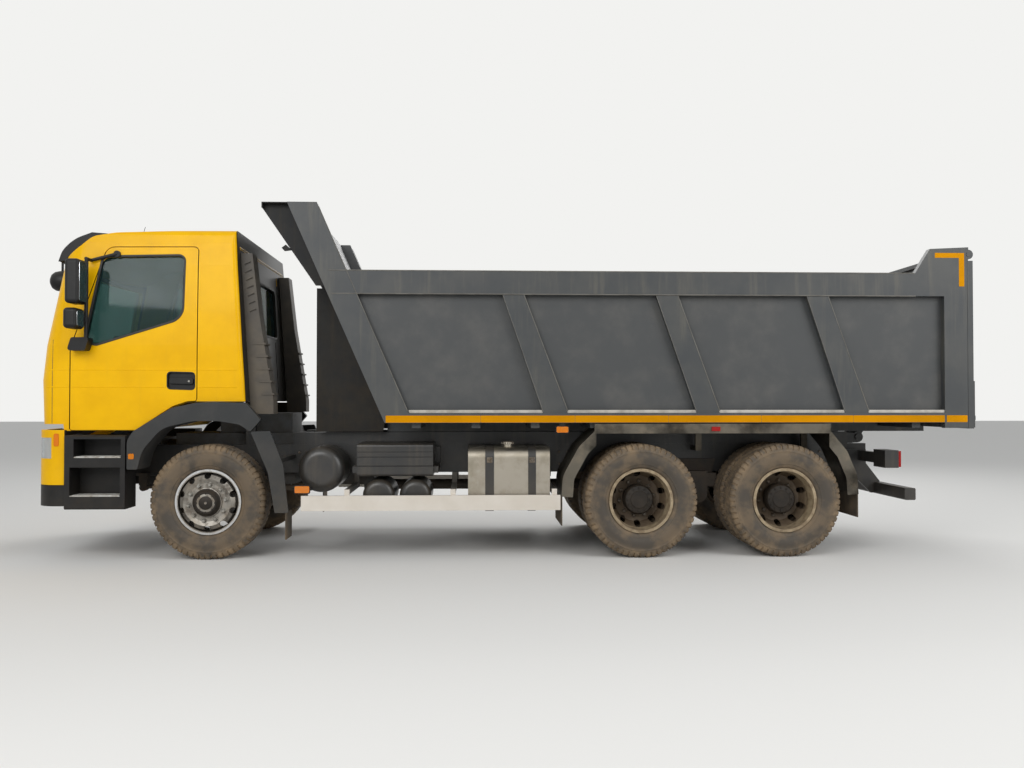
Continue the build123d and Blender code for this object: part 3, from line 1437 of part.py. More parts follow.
def canopy():
    """Cab protector and hoist housing, fixed to the forward face of the front wall."""
    y_wall = SHEET_OUTER_Y
    lip_low = POST_TOP_Z - 41
    top = POST_TOP_Z + 12
    wall_top = post_front_x(POST_TOP_Z) + WALL_BACK - RUNNING_GAP
    sheet = block(CANOPY_FRONT_X, wall_top, -y_wall, y_wall, top - 10, top)
    sheet += block(CANOPY_FRONT_X, CANOPY_FRONT_X + 10, -y_wall, y_wall, lip_low, top)
    gusset_low = POST_TOP_Z - 751
    wall_low = post_front_x(gusset_low) + WALL_BACK - RUNNING_GAP
    gusset = side_polygon(
        (
            (CANOPY_FRONT_X, top),
            (CANOPY_FRONT_X, lip_low),
            (964, gusset_low),
            (wall_low, gusset_low),
            (wall_top, POST_TOP_Z),
            (wall_top, top),
        )
    )
    for y0 in (-1110, -556, 546, 1100):
        sheet += side_prism(gusset, y0, y0 + 10)
    cheek_low = 1150.0
    cheek_wall = post_front_x(FLOOR_Z) + WALL_BACK - RUNNING_GAP
    cheek = side_polygon(
        (
            (885, cheek_low),
            (885, gusset_low + 40),
            (936, gusset_low + 40),
            (wall_low, gusset_low + 0.5),
            (cheek_wall, FLOOR_Z),
            (1560, FLOOR_Z - 2),
            (1540, cheek_low),
        )
    )
    for y0 in (-556, 546):
        sheet += side_prism(cheek, y0, y0 + 10)
    roof_z = HOIST_EYE_Z + 200
    roof_back = post_front_x(roof_z) + WALL_BACK - RUNNING_GAP
    sheet += block(925, roof_back - 6, -550, 550, roof_z, roof_z + 10)
    for z in (1500.0, 1900.0, 2300.0, POST_TOP_Z - 513, POST_TOP_Z - 153):
        x = post_front_x(z) + WALL_BACK - RUNNING_GAP
        x_top = post_front_x(z + 90) + WALL_BACK - RUNNING_GAP
        rib = side_polygon(((x - 70, z), (x, z), (x_top, z + 90), (x_top - 70, z + 90)))
        if z > gusset_low:
            sheet += side_prism(rib, -y_wall, y_wall)
        else:
            sheet += side_prism(rib, -y_wall, -550)
            sheet += side_prism(rib, 550, y_wall)
    for side in (-1, 1):
        y0, y1 = side * (HOIST_EYE_HALF + 8), side * (HOIST_EYE_HALF + 38)
        ear = side_polygon(
            (
                (HOIST_FOOT_X - 50, HOIST_EYE_Z - 50),
                (HOIST_FOOT_X + 50, HOIST_EYE_Z - 50),
                (post_front_x(HOIST_EYE_Z + 30) + WALL_BACK - RUNNING_GAP, HOIST_EYE_Z + 30),
                (post_front_x(roof_z) + WALL_BACK - RUNNING_GAP - 6, roof_z + 1),
                (HOIST_FOOT_X - 50, roof_z + 1),
            ),
            [45, 30, 0, 0, 0],
        )
        sheet += side_prism(ear, y0, y1)
    lug_z = POST_TOP_Z - 403
    lug = side_polygon(((690, lug_z + 30), (650, lug_z), (676, lug_z - 28), (745, lug_z - 20)))
    sheet += side_prism(lug, -1125, -1095)
    return sheet


CROSS_BEARERS_X = (1900.0, 2450.0, 3000.0, 3550.0, 4100.0, 4658.0, 5200.0, 5750.0, 6600.0)


def bed_bearers():
    """Two long bearers with cross bearers under the floor, and the hinge lugs."""
    inner = RAIL_OUTER_Y - 80
    top = FLOOR_Z - RUNNING_GAP
    low = SUBFRAME_TOP_Z + 5
    grid = block(1570, BED_REAR_X - 30, inner, RAIL_OUTER_Y, low, top)
    grid += other_side(grid)
    for x in CROSS_BEARERS_X:
        grid += block(x - 40, x + 40, -SHEET_OUTER_Y, SHEET_OUTER_Y, 1200, top)
    grid += block(BED_REAR_X - 80, BED_REAR_X - 2, -SHEET_OUTER_Y, SHEET_OUTER_Y, 1200, top)
    for side in (-1, 1):
        y0, y1 = side * 285, side * 357
        lug = side_polygon(
            (
                (BED_HINGE_X - 120, low + 60),
                (BED_HINGE_X - 50, BED_HINGE_Z),
                (BED_HINGE_X + 50, BED_HINGE_Z),
                (BED_HINGE_X + 120, low + 60),
            )
        )
        grid += side_prism(lug, y0, y1)
        grid += cross_cylinder(BED_HINGE_X, BED_HINGE_Z, BED_HINGE_BOSS, y0, y1)
        grid += block(BED_HINGE_X - 120, BED_HINGE_X + 120, y0, side * (inner + 5), low + 50, top)
    grid -= cross_cylinder(BED_HINGE_X, BED_HINGE_Z, BED_HINGE_PIN + PIN_GAP, -460, 460)
    return grid



def tailgate():
    """Top-hinged tailgate: sheet, frame, ribs, hinge arms and latch bars."""
    x0 = BED_REAR_X + TAILGATE_GAP
    half = 1244.0
    shoulder = TAILGATE_HINGE_Z - 58
    gate = block(x0, x0 + 8, -half, half, TAILGATE_LOW_Z, shoulder)
    arm_top = TAILGATE_HINGE_Z + 58
    gate += block(x0, TAILGATE_FACE_X, -SHEET_OUTER_Y + 22, SHEET_OUTER_Y - 22, 2690, arm_top)
    for z0, z1 in ((TAILGATE_LOW_Z, 1330), (2640, shoulder), (1900, 1990)):
        gate += block(x0 + 7, TAILGATE_FACE_X, -half, half, z0, z1)
    for y in (-half + 45, -400, 400, half - 45):
        gate += block(x0 + 7, TAILGATE_FACE_X, y - 45, y + 45, TAILGATE_LOW_Z, shoulder)
    for side in (-1, 1):
        arm = side_polygon(
            (
                (TAILGATE_HINGE_X - 36, TAILGATE_HINGE_Z - 30),
                (TAILGATE_HINGE_X + 30, TAILGATE_HINGE_Z - 60),
                (TAILGATE_HINGE_X + 30, TAILGATE_HINGE_Z + 58),
                (TAILGATE_HINGE_X - 36, TAILGATE_HINGE_Z + 30),
            ),
            [20, 0, 0, 20],
        )
        gate += side_prism(arm, side * 1130, side * 1158)
        gate += block(TAILGATE_FACE_X - 1, REAR_END_X, side * 1120, side * 1180, 1200, 1640)
    gate -= cross_cylinder(TAILGATE_HINGE_X, TAILGATE_HINGE_Z, 20 + PIN_GAP, -1170, 1170)
    return gate


def build():
    """Make every node of the vehicle."""
    os.makedirs("parts", exist_ok=True)
    left_wheel = front_wheel()
    save("front_wheel_left", left_wheel)
    save("front_wheel_right", other_side(left_wheel))
    left_tyre = tyre(0, -FRONT_WHEEL_Y)
    save("front_tyre_left", left_tyre)
    save("front_tyre_right", other_side(left_tyre))
    for number, x in enumerate(REAR_AXLES_X, 1):
        rims = rear_wheels(x)
        tyres = [tyre(x, -REAR_OUTER_WHEEL_Y), tyre(x, -REAR_INNER_WHEEL_Y)]
        save(f"rear_wheels_{number}_left", rims)
        save(f"rear_wheels_{number}_right", other_side(rims))
        save(f"rear_tyres_{number}_left", tyres)
        save(f"rear_tyres_{number}_right", [other_side(piece) for piece in tyres])
    left_knuckle = knuckle()
    save("knuckle_left", left_knuckle)
    save("knuckle_right", other_side(left_knuckle))
    save("tie_rod", tie_rod())
    save("front_axle", [front_axle(), *front_springs()])
    save("rear_axles", [*rear_axles(), *rear_springs()])
    save("frame_rails", frame_rails())
    save("subframe", subframe())
    names = ("hoist_barrel", "hoist_stage_1", "hoist_stage_2", "hoist_stage_3", "hoist_stage_4")
    for index, name in enumerate(names):
        save(name, hoist_stage(index))
    outer = cab_solid(0)
    inner = cab_solid(CAB_WALL)
    save("cab_shell", cab_shell(outer, inner))
    save("cab_glass", cab_glass())
    door = cab_door(outer, inner)
    save("door_left", door)
    save("door_right", other_side(door))
    pane = door_glass()
    save("door_glass_left", pane)
    save("door_glass_right", other_side(pane))
    mirrors = door_mirrors()
    save("door_mirrors_left", mirrors)
    save("door_mirrors_right", other_side(mirrors))
    save("wheel_arch_flares", both_sides(wheel_flare()))
    save("sun_visor", [sun_visor(), front_mirror()])
    save("intake_ducts", both_sides(intake_duct()))
    save("seats", seats())
    save("dashboard", dashboard())
    save("front_grille", front_grille())
    save("lower_bumper", lower_bumper())
    save("bumper_corners", bumper_corners())
    save("headlamps", headlamps())
    save("cab_steps", both_sides(cab_steps()))
    save("engine_block", engine_block())
    save("fuel_tank", fuel_tank())
    save("tank_straps", tank_straps())
    save("air_tanks", [air_tank(*row) for row in AIR_TANKS])
    save("equipment_boxes", both_sides(equipment_box()))
    save("side_guards", both_sides(side_guard()))
    save("silencer", silencer())
    save("rear_mudguards", both_sides(rear_mudguard()))
    save("front_mudguards", both_sides(front_mudguard()))
    save("mud_flaps", mud_flaps())
    save("underrun_bar", underrun_bar())
    save("lamps", lamps())
    save("bed_tub", bed_tub())
    save("bed_frame", both_sides(bed_frame_side()))
    save("canopy", canopy())
    save("bed_bearers", bed_bearers())
    save("tailgate", tailgate())


if __name__ == "__main__":
    build()
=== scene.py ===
"""Looks of a three-axle dump truck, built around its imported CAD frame.

Lengths in the classes below are millimetres, measured from the front axle with X to the
rear, Y to the passenger's side and Z up from the ground. One function turns them into
the frame's metres. Lengths in a finish are metres in the frame where their name ends in
_m, and millimetres where it ends in _mm.
"""

from __future__ import annotations

import logging
import math
from dataclasses import dataclass, field
from enum import Enum
from typing import Callable, Sequence

import bpy
import numpy as np
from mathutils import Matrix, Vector
from mathutils.bvhtree import BVHTree


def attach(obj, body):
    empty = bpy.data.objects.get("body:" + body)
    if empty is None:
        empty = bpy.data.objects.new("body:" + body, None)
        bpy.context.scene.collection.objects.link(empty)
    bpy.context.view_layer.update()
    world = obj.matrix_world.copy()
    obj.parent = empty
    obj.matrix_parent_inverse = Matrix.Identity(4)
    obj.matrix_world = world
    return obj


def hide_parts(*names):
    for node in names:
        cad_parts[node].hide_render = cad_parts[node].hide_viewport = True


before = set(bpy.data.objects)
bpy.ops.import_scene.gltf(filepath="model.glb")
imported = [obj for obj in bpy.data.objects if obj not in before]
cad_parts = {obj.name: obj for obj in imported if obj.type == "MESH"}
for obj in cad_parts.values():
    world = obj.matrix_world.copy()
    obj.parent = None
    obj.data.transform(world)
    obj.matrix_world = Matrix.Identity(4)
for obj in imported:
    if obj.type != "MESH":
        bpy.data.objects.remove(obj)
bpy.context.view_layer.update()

LOG = logging.getLogger("dump_truck")
FRAME_MIDDLE_X = 2785.0
MM = 0.001
AXLE_Z = 525.0
# Smallest radius of a turned section, which closes it at its axis without a pole.
CORE = 0.01
FULL_TURN = 2.0 * math.pi

# A node's input or output, and the function that adds a node.
Socket = bpy.types.NodeSocket
Adder = Callable[..., Socket]
# A place or a direction, an outline without and with the radius of each corner.
Point = Sequence[float]
Pairs = Sequence[tuple[float, float]]
Corners = Sequence[tuple[float, float, float]]


class Side(Enum):
    """Side of the truck, with its sign on the Y axis."""

    DRIVER = -1
    PASSENGER = 1

    @property
    def word(self) -> str:
        """Word that the CAD names use for this side."""
        return "left" if self is Side.DRIVER else "right"


class Edge(Enum):
    """How the sharp edges of a piece are finished: steps across the edge, and its width."""

    SHARP = (0, 0.0)
    BROKEN = (1, 2.0)
    ROUNDED = (3, 4.0)


def hex_linear(code: str) -> tuple[float, float, float, float]:
    """Turn an sRGB hex colour into linear light.

    Args:
        code: Six hex digits, such as "F2BE0B".

    Returns:
        Linear red, green, blue and an alpha of 1.
    """
    channels = np.array([int(code[i : i + 2], 16) for i in (0, 2, 4)]) / 255.0
    linear = np.where(channels <= 0.04045, channels / 12.92, ((channels + 0.055) / 1.055) ** 2.4)
    return (float(linear[0]), float(linear[1]), float(linear[2]), 1.0)


def to_frame(points: np.ndarray) -> np.ndarray:
    """Move points from millimetres behind the front axle to the frame's metres.

    Args:
        points: Array of shape (N, 3).

    Returns:
        Array of the same shape.
    """
    return (points - np.array([FRAME_MIDDLE_X, 0.0, 0.0])) * MM


class Facing(Enum):
    """Face of the truck that pieces are laid on, with the direction of rays that fall on it."""

    SIDE = (0.0, 1.0, 0.0)
    FRONT = (1.0, 0.0, 0.0)
    REAR = (-1.0, 0.0, 0.0)
    TOP = (0.0, 0.0, -1.0)

    @property
    def ray(self) -> np.ndarray:
        """Direction of the rays as an array."""
        return np.array(self.value)

    def upright(self, flat: np.ndarray) -> np.ndarray:
        """Stand flat points up: the side has X and Z, the front and the rear Y and Z.

        Args:
            flat: Points with two measures.

        Returns:
            Points with three measures, the missing one zero.
        """
        columns = [flat[:, 0], np.zeros(len(flat)), flat[:, 1]]
        return np.column_stack(columns if self is Facing.SIDE else [columns[1], columns[0], columns[2]])


# Materials


class Graph:
    """Shader nodes of one material or of the world."""

    def __init__(self, tree: bpy.types.NodeTree) -> None:
        """Take a node tree and clear it."""
        self.tree = tree
        tree.nodes.clear()

    def add(
        self, kind: str, inputs: dict | tuple = (), out: str | int = 0, **settings: object
    ) -> Socket | None:
        """Add a node with its settings and links.

        Args:
            kind: Blender's name of the node type, without its "ShaderNode".
            inputs: What feeds the node, by the names or numbers of its inputs, or in
                their order: an output of another node, a number, a vector, or the hex
                code of a colour.
            out: Name or number of the output that the caller goes on with.
            settings: Properties of the node.

        Returns:
            That output, or None from a node without outputs.
        """
        node = self.tree.nodes.new("ShaderNode" + kind)
        for name, value in settings.items():
            setattr(node, name, value)
        if isinstance(inputs, tuple):
            inputs = dict(enumerate(inputs))
        for name, value in inputs.items():
            if isinstance(value, Socket):
                self.tree.links.new(value, node.inputs[name])
            else:
                node.inputs[name].default_value = hex_linear(value) if isinstance(value, str) else value
        return node.outputs[out] if node.outputs else None


# Settings that many nodes share: a smooth step between two limits, a blend of two
# colours, and the arithmetic.
STEP = {"interpolation_type": "SMOOTHSTEP"}
BLEND = {"out": 2, "data_type": "RGBA"}
ABS = {"operation": "ABSOLUTE"}
PLUS = {"operation": "ADD"}
TIMES = {"operation": "MULTIPLY"}
TIMES_PLUS = {"operation": "MULTIPLY_ADD"}


def blotches(coords: Socket, size_mm: float, detail: float = 4.0) -> dict[str, object]:
    """Inputs of a noise whose blotches are about one real size across.

    Args:
        coords: Coordinates in metres.
        size_mm: Size of one blotch.
        detail: Octaves of finer noise.

    Returns:
        Names of the inputs with what feeds them.
    """
    return {"Vector": coords, "Scale": 1.0 / (size_mm * MM), "Detail": detail, "Roughness": 0.6}


def bands(coords: Socket, pitch_mm: float) -> dict[str, object]:
    """Inputs of a wave texture with one real distance between its bands.

    Blender's wave turns by twenty radians over one unit of length at a scale of 1.

    Args:
        coords: Coordinates in metres.
        pitch_mm: Distance between bands.

    Returns:
        Names of the inputs with what feeds them.
    """
    return {"Vector": coords, "Scale": FULL_TURN / (pitch_mm * MM) / 20.0}


def patches(
    add: Adder, coords: Socket, size_mm: float, detail: float, step: tuple[float, float], most: float = 1.0
) -> Socket:
    """Soft-edged patches of one real size: a smooth step over the noise, times a share.

    Args:
        add: Adds a node to the material.
        coords: Coordinates in metres.
        size_mm: Size of one blotch.
        detail: Octaves of finer noise.
        step: Values of the noise at which the patches start and are full.
        most: Share in a full patch.

    Returns:
        Share from 0 to the given one.
    """
    noise = add("TexNoise", blotches(coords, size_mm, detail))
    share = add("MapRange", (noise, *step), **STEP)
    return share if most == 1.0 else add("Math", (share, most), **TIMES)


@dataclass(frozen=True)
class Dust:
    """Dry dust: its colour, its densest share, and the height above which it thins out."""

    colour: str
    share: float
    top_m: float


@dataclass(frozen=True)
class Finish:
    """Finish of a surface, kept as one material that carries its name."""

    name: str

    def build(self) -> bpy.types.Material:
        """Make the material.

        Returns:
            The new material.
        """
        material = bpy.data.materials.new(self.name)
        material.use_nodes = True
        add = Graph(material.node_tree).add
        add("OutputMaterial", {"Surface": self.shader(add)})
        return material

    def shader(self, add: Adder) -> Socket:
        """Add the nodes of this kind of finish, up to its shader."""
        raise NotImplementedError

    def relief(self, add: Adder, height: Socket, depth_mm: float) -> Socket:
        """Shading normals of a relief.

        Args:
            add: Adds a node to the material.
            height: Pattern from 0 to 1.
            depth_mm: Height of the pattern.

        Returns:
            The normals.
        """
        return add("Bump", {"Height": height, "Strength": 0.8, "Distance": depth_mm * MM})


@dataclass(frozen=True)
class PlainPaint(Finish):
    """One matt colour."""

    colour: str
    roughness: float

    def shader(self, add: Adder) -> Socket:
        """Plain matt shader."""
        return add("BsdfPrincipled", {"Base Color": self.colour, "Roughness": self.roughness})


@dataclass(frozen=True)
class Coating(Finish):
    """Opaque painted, moulded or rubber surface with uneven colour, grain and road dust.

    The colour drifts between two tones over blotches of one size. Rain can draw streaks of
    dust down it. Its rearward faces and the cab's leaning rear wall can take a dark colour
    that paints the shade on them, and what lies towards the truck's middle can be darkened
    in the dust colour, which on the side guards is painted shade. Over all that, dust lies
    on what faces up, thickens towards the ground and gathers in soft clouds. A pair of
    numbers after a pattern's name is where a smooth step over that pattern starts and ends.
    """

    colour: str
    worn_colour: str
    blotch_mm: float
    roughness: float
    grain_mm: float
    grain_depth_mm: float
    dust: Dust
    dent_depth_mm: float = 0.0
    coat: float = 0.0
    metallic: float = 0.0
    streaks: float = 0.0
    gloss: float = 0.5
    rear_shade_colour: str = ""
    inward_m: tuple[float, float] | None = None
    inward_share: float = 0.85
    worn_step: tuple[float, float] = (0.35, 0.7)
    rain_step: tuple[float, float] = (0.5, 0.72)
    rearward_step: tuple[float, float] = (0.86, 0.93)
    lying_step: tuple[float, float] = (0.3, 1.0)
    cloud_step: tuple[float, float] = (0.3, 0.75)
    rear_wall_m: tuple[float, float, float] = (-2.4262, -0.0653, 1.05)
    rear_wall_top_m: float = 2.72
    rear_wall_edge_m: float = 0.003

    def shader(self, add: Adder) -> Socket:
        """Colours from the paint up to the dust, with grain and dents.

        Args:
            add: Adds a node to the material.

        Returns:
            The shader.
        """
        coords = add("TexCoord", out="Object")
        x, y, z = add("SeparateXYZ", (coords,)).node.outputs
        facing = add("SeparateXYZ", (coords.node.outputs["Normal"],)).node.outputs
        worn = patches(add, coords, self.blotch_mm, 4.0, self.worn_step)
        colour = add("Mix", {0: worn, 6: self.colour, 7: self.worn_colour}, **BLEND)
        if self.streaks > 0.0:
            upright = add("Mapping", {"Vector": coords, "Scale": (9.0, 9.0, 0.7)})
            share = patches(add, upright, 700.0, 6.0, self.rain_step, self.streaks)
            colour = add("Mix", {0: share, 6: colour, 7: self.dust.colour}, **BLEND)
        # Painted shade: faces towards the rear and the cab's rear wall take a dark colour in place of the
        # shade on them.
        if self.rear_shade_colour:
            rearward = add("MapRange", (facing[0], *self.rearward_step), **STEP)
            for share in (rearward, self.rear_wall_shade(add, x, y, z)):
                colour = add("Mix", {0: share, 6: colour, 7: self.rear_shade_colour}, **BLEND)
        # Darker towards the truck's middle in the dust colour: painted shade on the side guards' inner
        # side, darker towards the middle on the rear rims.
        if self.inward_m:
            off_middle = add("Math", (y,), **ABS)
            inward = add("MapRange", (off_middle, self.inward_m[1], self.inward_m[0]), **STEP)
            share = add("Math", (inward, self.inward_share), **TIMES)
            colour = add("Mix", {0: share, 6: colour, 7: self.dust.colour}, **BLEND)
        dusty = self.dust_cover(add, coords, z, facing[2])
        colour = add("Mix", {0: dusty, 6: colour, 7: self.dust.colour}, **BLEND)
        height = add("TexNoise", blotches(coords, self.grain_mm, 2.0))
        depth = self.grain_depth_mm
        if self.dent_depth_mm > 0.0:
            dents = add("TexNoise", blotches(coords, 420.0, 1.0))
            height = add("Math", (height, depth / self.dent_depth_mm, dents), **TIMES_PLUS)
            depth = self.dent_depth_mm
        return add(
            "BsdfPrincipled",
            {
                "Base Color": colour,
                "Roughness": add("Math", (dusty, 0.5, self.roughness), **TIMES_PLUS),
                "Metallic": self.metallic,
                "Specular IOR Level": self.gloss,
                "Coat Weight": self.coat,
                "Coat Roughness": 0.08,
                "Normal": self.relief(add, height, depth),
            },
        )

    def rear_wall_shade(
        self, add: Adder, x: Socket, y: Socket, z: Socket
    ) -> Socket:
        """Share of the painted shade on the leaning rear wall, its window reveal with it.

        A point belongs to the wall where x less the lean times z passes the wall's foot,
        between two heights and within half a width.

        Args:
            add: Adds a node to the material.
            x: Place along the truck in metres.
            y: Place across it.
            z: Height.

        Returns:
            Share from 0 to 1.
        """
        start, lean, half = self.rear_wall_m
        edge = self.rear_wall_edge_m
        top = self.rear_wall_top_m
        foot = add("Math", (z, -lean, x), **TIMES_PLUS)
        behind = add("MapRange", (foot, start, start + edge), **STEP)
        off_middle = add("Math", (y,), **ABS)
        within = add("MapRange", (off_middle, half, half - edge), **STEP)
        below = add("MapRange", (z, top, top - edge), **STEP)
        wall = add("Math", (behind, within), **TIMES)
        return add("Math", (wall, below), **TIMES)

    def dust_cover(
        self, add: Adder, coords: Socket, z: Socket, up: Socket
    ) -> Socket:
        """Share of dust on the surface: soft clouds, more low down and on what faces up.

        Args:
            add: Adds a node to the material.
            coords: Coordinates in metres.
            z: Height in metres.
            up: How far the surface faces up, from -1 to 1.

        Returns:
            Share of dust from 0 to 1.
        """
        low = add("MapRange", (z, self.dust.top_m, 0.0), **STEP)
        lying = add("MapRange", (up, *self.lying_step), **STEP)
        settled = add("Math", (lying, 0.7, low), **TIMES_PLUS)
        cloud = patches(add, coords, 180.0, 8.0, self.cloud_step)
        spread = add("Math", (cloud, 0.8, 0.2), **TIMES_PLUS)
        share = add("Math", (settled, spread), **TIMES)
        return add("Math", (share, self.dust.share), **TIMES)


@dataclass(frozen=True)
class BareMetal(Finish):
    """Uncoated metal: brushed, rolled or galvanised, with dull patches and some dust.

    The fine lines of its relief are a noise squeezed by the stretch on X, Y and Z.
    """

    colour: str
    dull_colour: str
    roughness: float
    lines_mm: float
    patch_mm: float
    dust_share: float
    stretch: tuple[float, float, float] = (1.0, 1.0, 1.0)
    dust_colour: str = "8F7F68"
    patch_step: tuple[float, float] = (0.4, 0.7)
    dust_step: tuple[float, float] = (0.45, 0.8)

    def shader(self, add: Adder) -> Socket:
        """Metal with dull patches, less metallic where dust lies.

        Args:
            add: Adds a node to the material.

        Returns:
            The shader.
        """
        coords = add("TexCoord", out="Object")
        drawn = add("Mapping", {"Vector": coords, "Scale": self.stretch})
        lines = add("TexNoise", blotches(drawn, self.lines_mm, 3.0))
        dull = patches(add, coords, self.patch_mm, 5.0, self.patch_step)
        colour = add("Mix", {0: dull, 6: self.colour, 7: self.dull_colour}, **BLEND)
        dust = patches(add, coords, 140.0, 7.0, self.dust_step, self.dust_share)
        return add(
            "BsdfPrincipled",
            {
                "Base Color": add("Mix", {0: dust, 6: colour, 7: self.dust_colour}, **BLEND),
                "Roughness": add("Math", (dull, 0.18, self.roughness), **TIMES_PLUS),
                "Metallic": add("Math", (dust, -1.0, 1.0), **TIMES_PLUS),
                "Normal": self.relief(add, lines, 0.06),
            },
        )


@dataclass(frozen=True)
class TintedPane(Finish):
    """Toughened cab glass: a faint green tint, a film of dust and sharp reflections."""

    tint: str = "31494A"
    clear_tint: str = "BFD6D2"
    cover: float = 0.3
    film_share: float = 0.12

    def shader(self, add: Adder) -> Socket:
        """Clear pane covered by gloss, more of it where the film of dust is thick.

        Args:
            add: Adds a node to the material.

        Returns:
            The shader.
        """
        coords = add("TexCoord", out="Object")
        film = patches(add, coords, 260.0, 6.0, (0.3, 0.8))
        share = add("Math", (film, self.film_share, self.cover), **TIMES_PLUS)
        clear = add("BsdfTransparent", {"Color": self.clear_tint})
        gloss = add("BsdfPrincipled", {"Base Color": self.tint, "Roughness": 0.04, "IOR": 1.52})
        return add("MixShader", (share, clear, gloss))


@dataclass(frozen=True)
class Lens(Finish):
    """Moulded acrylic lamp lens with vertical flutes, drawn coarse so that they show."""

    colour: str
    flute_mm: float = 8.0 * math.pi
    clear: float = 0.35

    def shader(self, add: Adder) -> Socket:
        """Partly clear coloured plastic with its flutes as a relief.

        Args:
            add: Adds a node to the material.

        Returns:
            The shader.
        """
        coords = add("TexCoord", out="Object")
        flutes = add(
            "TexWave", bands(coords, self.flute_mm), out="Fac", wave_type="BANDS", bands_direction="X"
        )
        return add(
            "BsdfPrincipled",
            {
                "Base Color": self.colour,
                "Roughness": 0.08,
                "IOR": 1.49,
                "Transmission Weight": self.clear,
                "Normal": self.relief(add, flutes, 0.4),
            },
        )


@dataclass(frozen=True)
class WovenCloth(Finish):
    """Flat woven seat cloth: two crossing bands and a soft sheen.

    The bands lie about 19 mm apart, far coarser than real threads, so that they show.
    """

    colour: str
    second: str
    thread_mm: float = 6.0 * math.pi

    def shader(self, add: Adder) -> Socket:
        """Cloth whose colour and relief follow the crossing threads.

        Args:
            add: Adds a node to the material.

        Returns:
            The shader.
        """
        coords = add("TexCoord", out="Object")
        thread = {**bands(coords, self.thread_mm), "Distortion": 0.4}
        warp, weft = (add("TexWave", thread, out="Fac", bands_direction=axis) for axis in "YZ")
        weave = add("Math", (warp, weft), **TIMES)
        return add(
            "BsdfPrincipled",
            {
                "Base Color": add("Mix", {0: weave, 6: self.colour, 7: self.second}, **BLEND),
                "Roughness": 0.9,
                "Sheen Weight": 0.35,
                "Sheen Roughness": 0.5,
                "Normal": self.relief(add, weave, 0.5),
            },
        )


@dataclass(frozen=True)
class TyreRubber(Finish):
    """Road tyre rubber: black-brown, dry mud in rings on the side wall and in the grooves.

    Two numbers stored on the mesh place the mud: how far a point lies from the axle, and
    how deep it lies in the tread.
    """

    colour: str = "2B2A28"
    mud: str = "8A755A"
    shoulder_mm: float = 480.0
    bead_mm: float = 300.0
    patch_mm: float = 240.0
    drift_mm: float = 46.0

    def shader(self, add: Adder) -> Socket:
        """Rubber with mud in wavy rings near shoulder and bead, in patches and grooves.

        Args:
            add: Adds a node to the material.

        Returns:
            The shader.
        """
        coords = add("TexCoord", out="Object")
        radius = add("Attribute", out="Fac", attribute_name="radius_mm")
        groove = add("Attribute", out="Fac", attribute_name="groove")
        drift = add("TexNoise", blotches(coords, 90.0, 5.0))
        drift = add("Math", (drift, self.drift_mm), **TIMES)
        wavy = add("Math", (radius, drift), **PLUS)
        upper = add("MapRange", (wavy, self.shoulder_mm - 55.0, self.shoulder_mm + 45.0), **STEP)
        lower = add("MapRange", (wavy, self.bead_mm + 75.0, self.bead_mm + 20.0), **STEP)
        rings = add("Math", (lower, 0.55, upper), **TIMES_PLUS)
        rings = add("Math", (rings, patches(add, coords, 70.0, 8.0, (0.3, 0.7))), **TIMES)
        dirt = add("Math", (patches(add, coords, self.patch_mm, 4.0, (0.4, 0.6)), 0.3, 0.12), **TIMES_PLUS)
        share = add("Math", (rings, 0.5, dirt), **TIMES_PLUS)
        deep = add("Math", (groove, 0.7), **TIMES)
        share = add("Math", (share, deep), operation="MAXIMUM")
        return add(
            "BsdfPrincipled",
            {
                "Base Color": add("Mix", {0: share, 6: self.colour, 7: self.mud}, **BLEND),
                "Roughness": add("Math", (share, 0.3, 0.58), **TIMES_PLUS),
                "Normal": self.relief(add, add("TexNoise", blotches(coords, 2.2)), 0.35),
            },
        )


